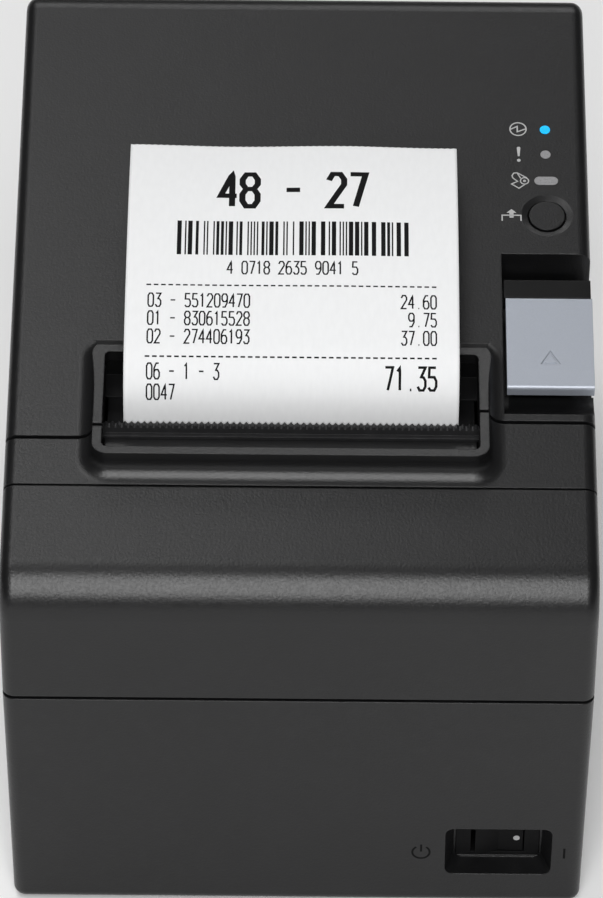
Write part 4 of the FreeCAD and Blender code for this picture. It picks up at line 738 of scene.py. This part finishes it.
def add_springs(node, name, count):
    """A row of spring contacts in a socket for a modular plug."""
    x, z = port(node)
    path = [(y, z + up) for y, up in SPRING_PATH]
    springs = [wire(x + SPRING_STEP * (i - (count - 1) / 2), path, *SPRING) for i in range(count)]
    add_piece(name, *joined(springs), GOLD, "base", "bright_steel", False)


SCREW_X = 48.3
SCREW_RINGS = ((-0.1, 2.2), (0.5, 2.2), (1.0, 1.9), (1.3, 1.4))
SLOT_LONG, SLOT_THIN, SLOT_ENDS = 1.2, 0.25, (1.0, 1.33)


def add_plate_screws():
    """Cross-slotted heads at both ends of the interface plate; the slots are near-black blocks of painted
    shade on the heads, not cut in.
    """
    low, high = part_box("interface_plate")
    face, height = high.y / MM, (low.z + high.z) / 2 / MM
    heads, slots = [], []
    for x in (-SCREW_X, SCREW_X):
        heads.append(lofted([section(circle(0, 0, r, 24), x, face + out, height) for out, r in SCREW_RINGS]))
        for shape in (rectangle(SLOT_LONG, SLOT_THIN), rectangle(SLOT_THIN, SLOT_LONG)):
            slots.append(lofted([section(shape, x, face + out, height) for out in SLOT_ENDS]))
    add_piece("plate_screws", *joined(heads), SLOTS["plated_steel"], "base", "plated_steel")
    # Painted shade: near-black blocks on the heads stand in for the shade in the recessed cross slots.
    add_piece("screw_slots_painted_shade", *joined(slots), DARK_INK_AND_SHADE, "base", "inner_plastic", False)


# Stage: pale floor, studio light

FLOOR_HALF, FLOOR_CELL = 6, 1
FLOOR_LIFT = 0.08


def add_floor():
    """Pale floor, a little paler to the eye and in reflections than the light on it makes it."""
    places = spaced(-FLOOR_HALF, FLOOR_HALF, FLOOR_CELL)
    verts, faces = grid([[Vector((x, y, 0)) for x in places] for y in places])
    mesh = bpy.data.meshes.new("floor")
    mesh.from_pydata([tuple(v) for v in verts], [], faces)
    floor = bpy.data.objects.new("floor", mesh)
    scene.collection.objects.link(floor)
    shader = surface("floor", (0.88, 0.88, 0.88), 0.7, 30, spread=0.01, specular=0.2, bevel=None, mottle=3)
    lift = shader.ramp(shader.seen(), 0, 1, 0, FLOOR_LIFT)
    shader.feed(shader.main.inputs["Emission Strength"], lift)
    shader.main.inputs["Emission Color"].default_value = (1, 1, 1, 1)
    mesh.materials.append(shader.material)


LIT = Vector((0, -0.03, 0.09))
SKY = ((0.2, 0.08), (0.8, 0.12))


def add_light(name, place, size, power):
    """Soft rectangular lamp aimed at the printer."""
    data = bpy.data.lights.new(name, "AREA")
    data.shape = "RECTANGLE"
    data.size, data.size_y = size
    data.energy = power
    lamp = bpy.data.objects.new(name, data)
    back = Vector(place) - LIT
    lamp.matrix_world = Matrix.Translation(place) @ back.to_track_quat("Z", "Y").to_matrix().to_4x4()
    scene.collection.objects.link(lamp)


def add_world():
    """Dim all round, a little paler overhead, as in a studio under a pale ceiling."""
    world = bpy.data.worlds.new("studio")
    world.use_nodes = True
    tree = world.node_tree
    place = tree.nodes.new("ShaderNodeTexCoord")
    split = tree.nodes.new("ShaderNodeSeparateXYZ")
    ramp = tree.nodes.new("ShaderNodeValToRGB")
    tree.links.new(place.outputs["Generated"], split.inputs[0])
    tree.links.new(split.outputs["Z"], ramp.inputs["Fac"])
    tree.links.new(ramp.outputs["Color"], tree.nodes["Background"].inputs["Color"])
    for element, (spot, level) in zip(ramp.color_ramp.elements, SKY):
        element.position = spot
        element.color = (level, level, level, 1)
    scene.world = world


dress_nodes()
add_camera()
add_receipt()
add_print()
add_web()
add_roll()
add_panel_marks()
add_switch_marks()
add_rocker_dot()
add_power_pins()
add_usb_contacts()
add_springs("network_socket", "network_contacts", 8)
add_springs("drawer_socket", "drawer_contacts", 6)
add_plate_screws()
add_floor()
add_light("front", (-0.05, -1.31, 1.28), (0.75, 1.5), 27.5)
add_light("top_left", (-0.3, 0.2, 1.4), (0.7, 0.5), 3.9)
add_light("back", (0, 1.2, 1.3), (1.4, 0.4), 6)
add_world()
scene.view_settings.view_transform = "Standard"
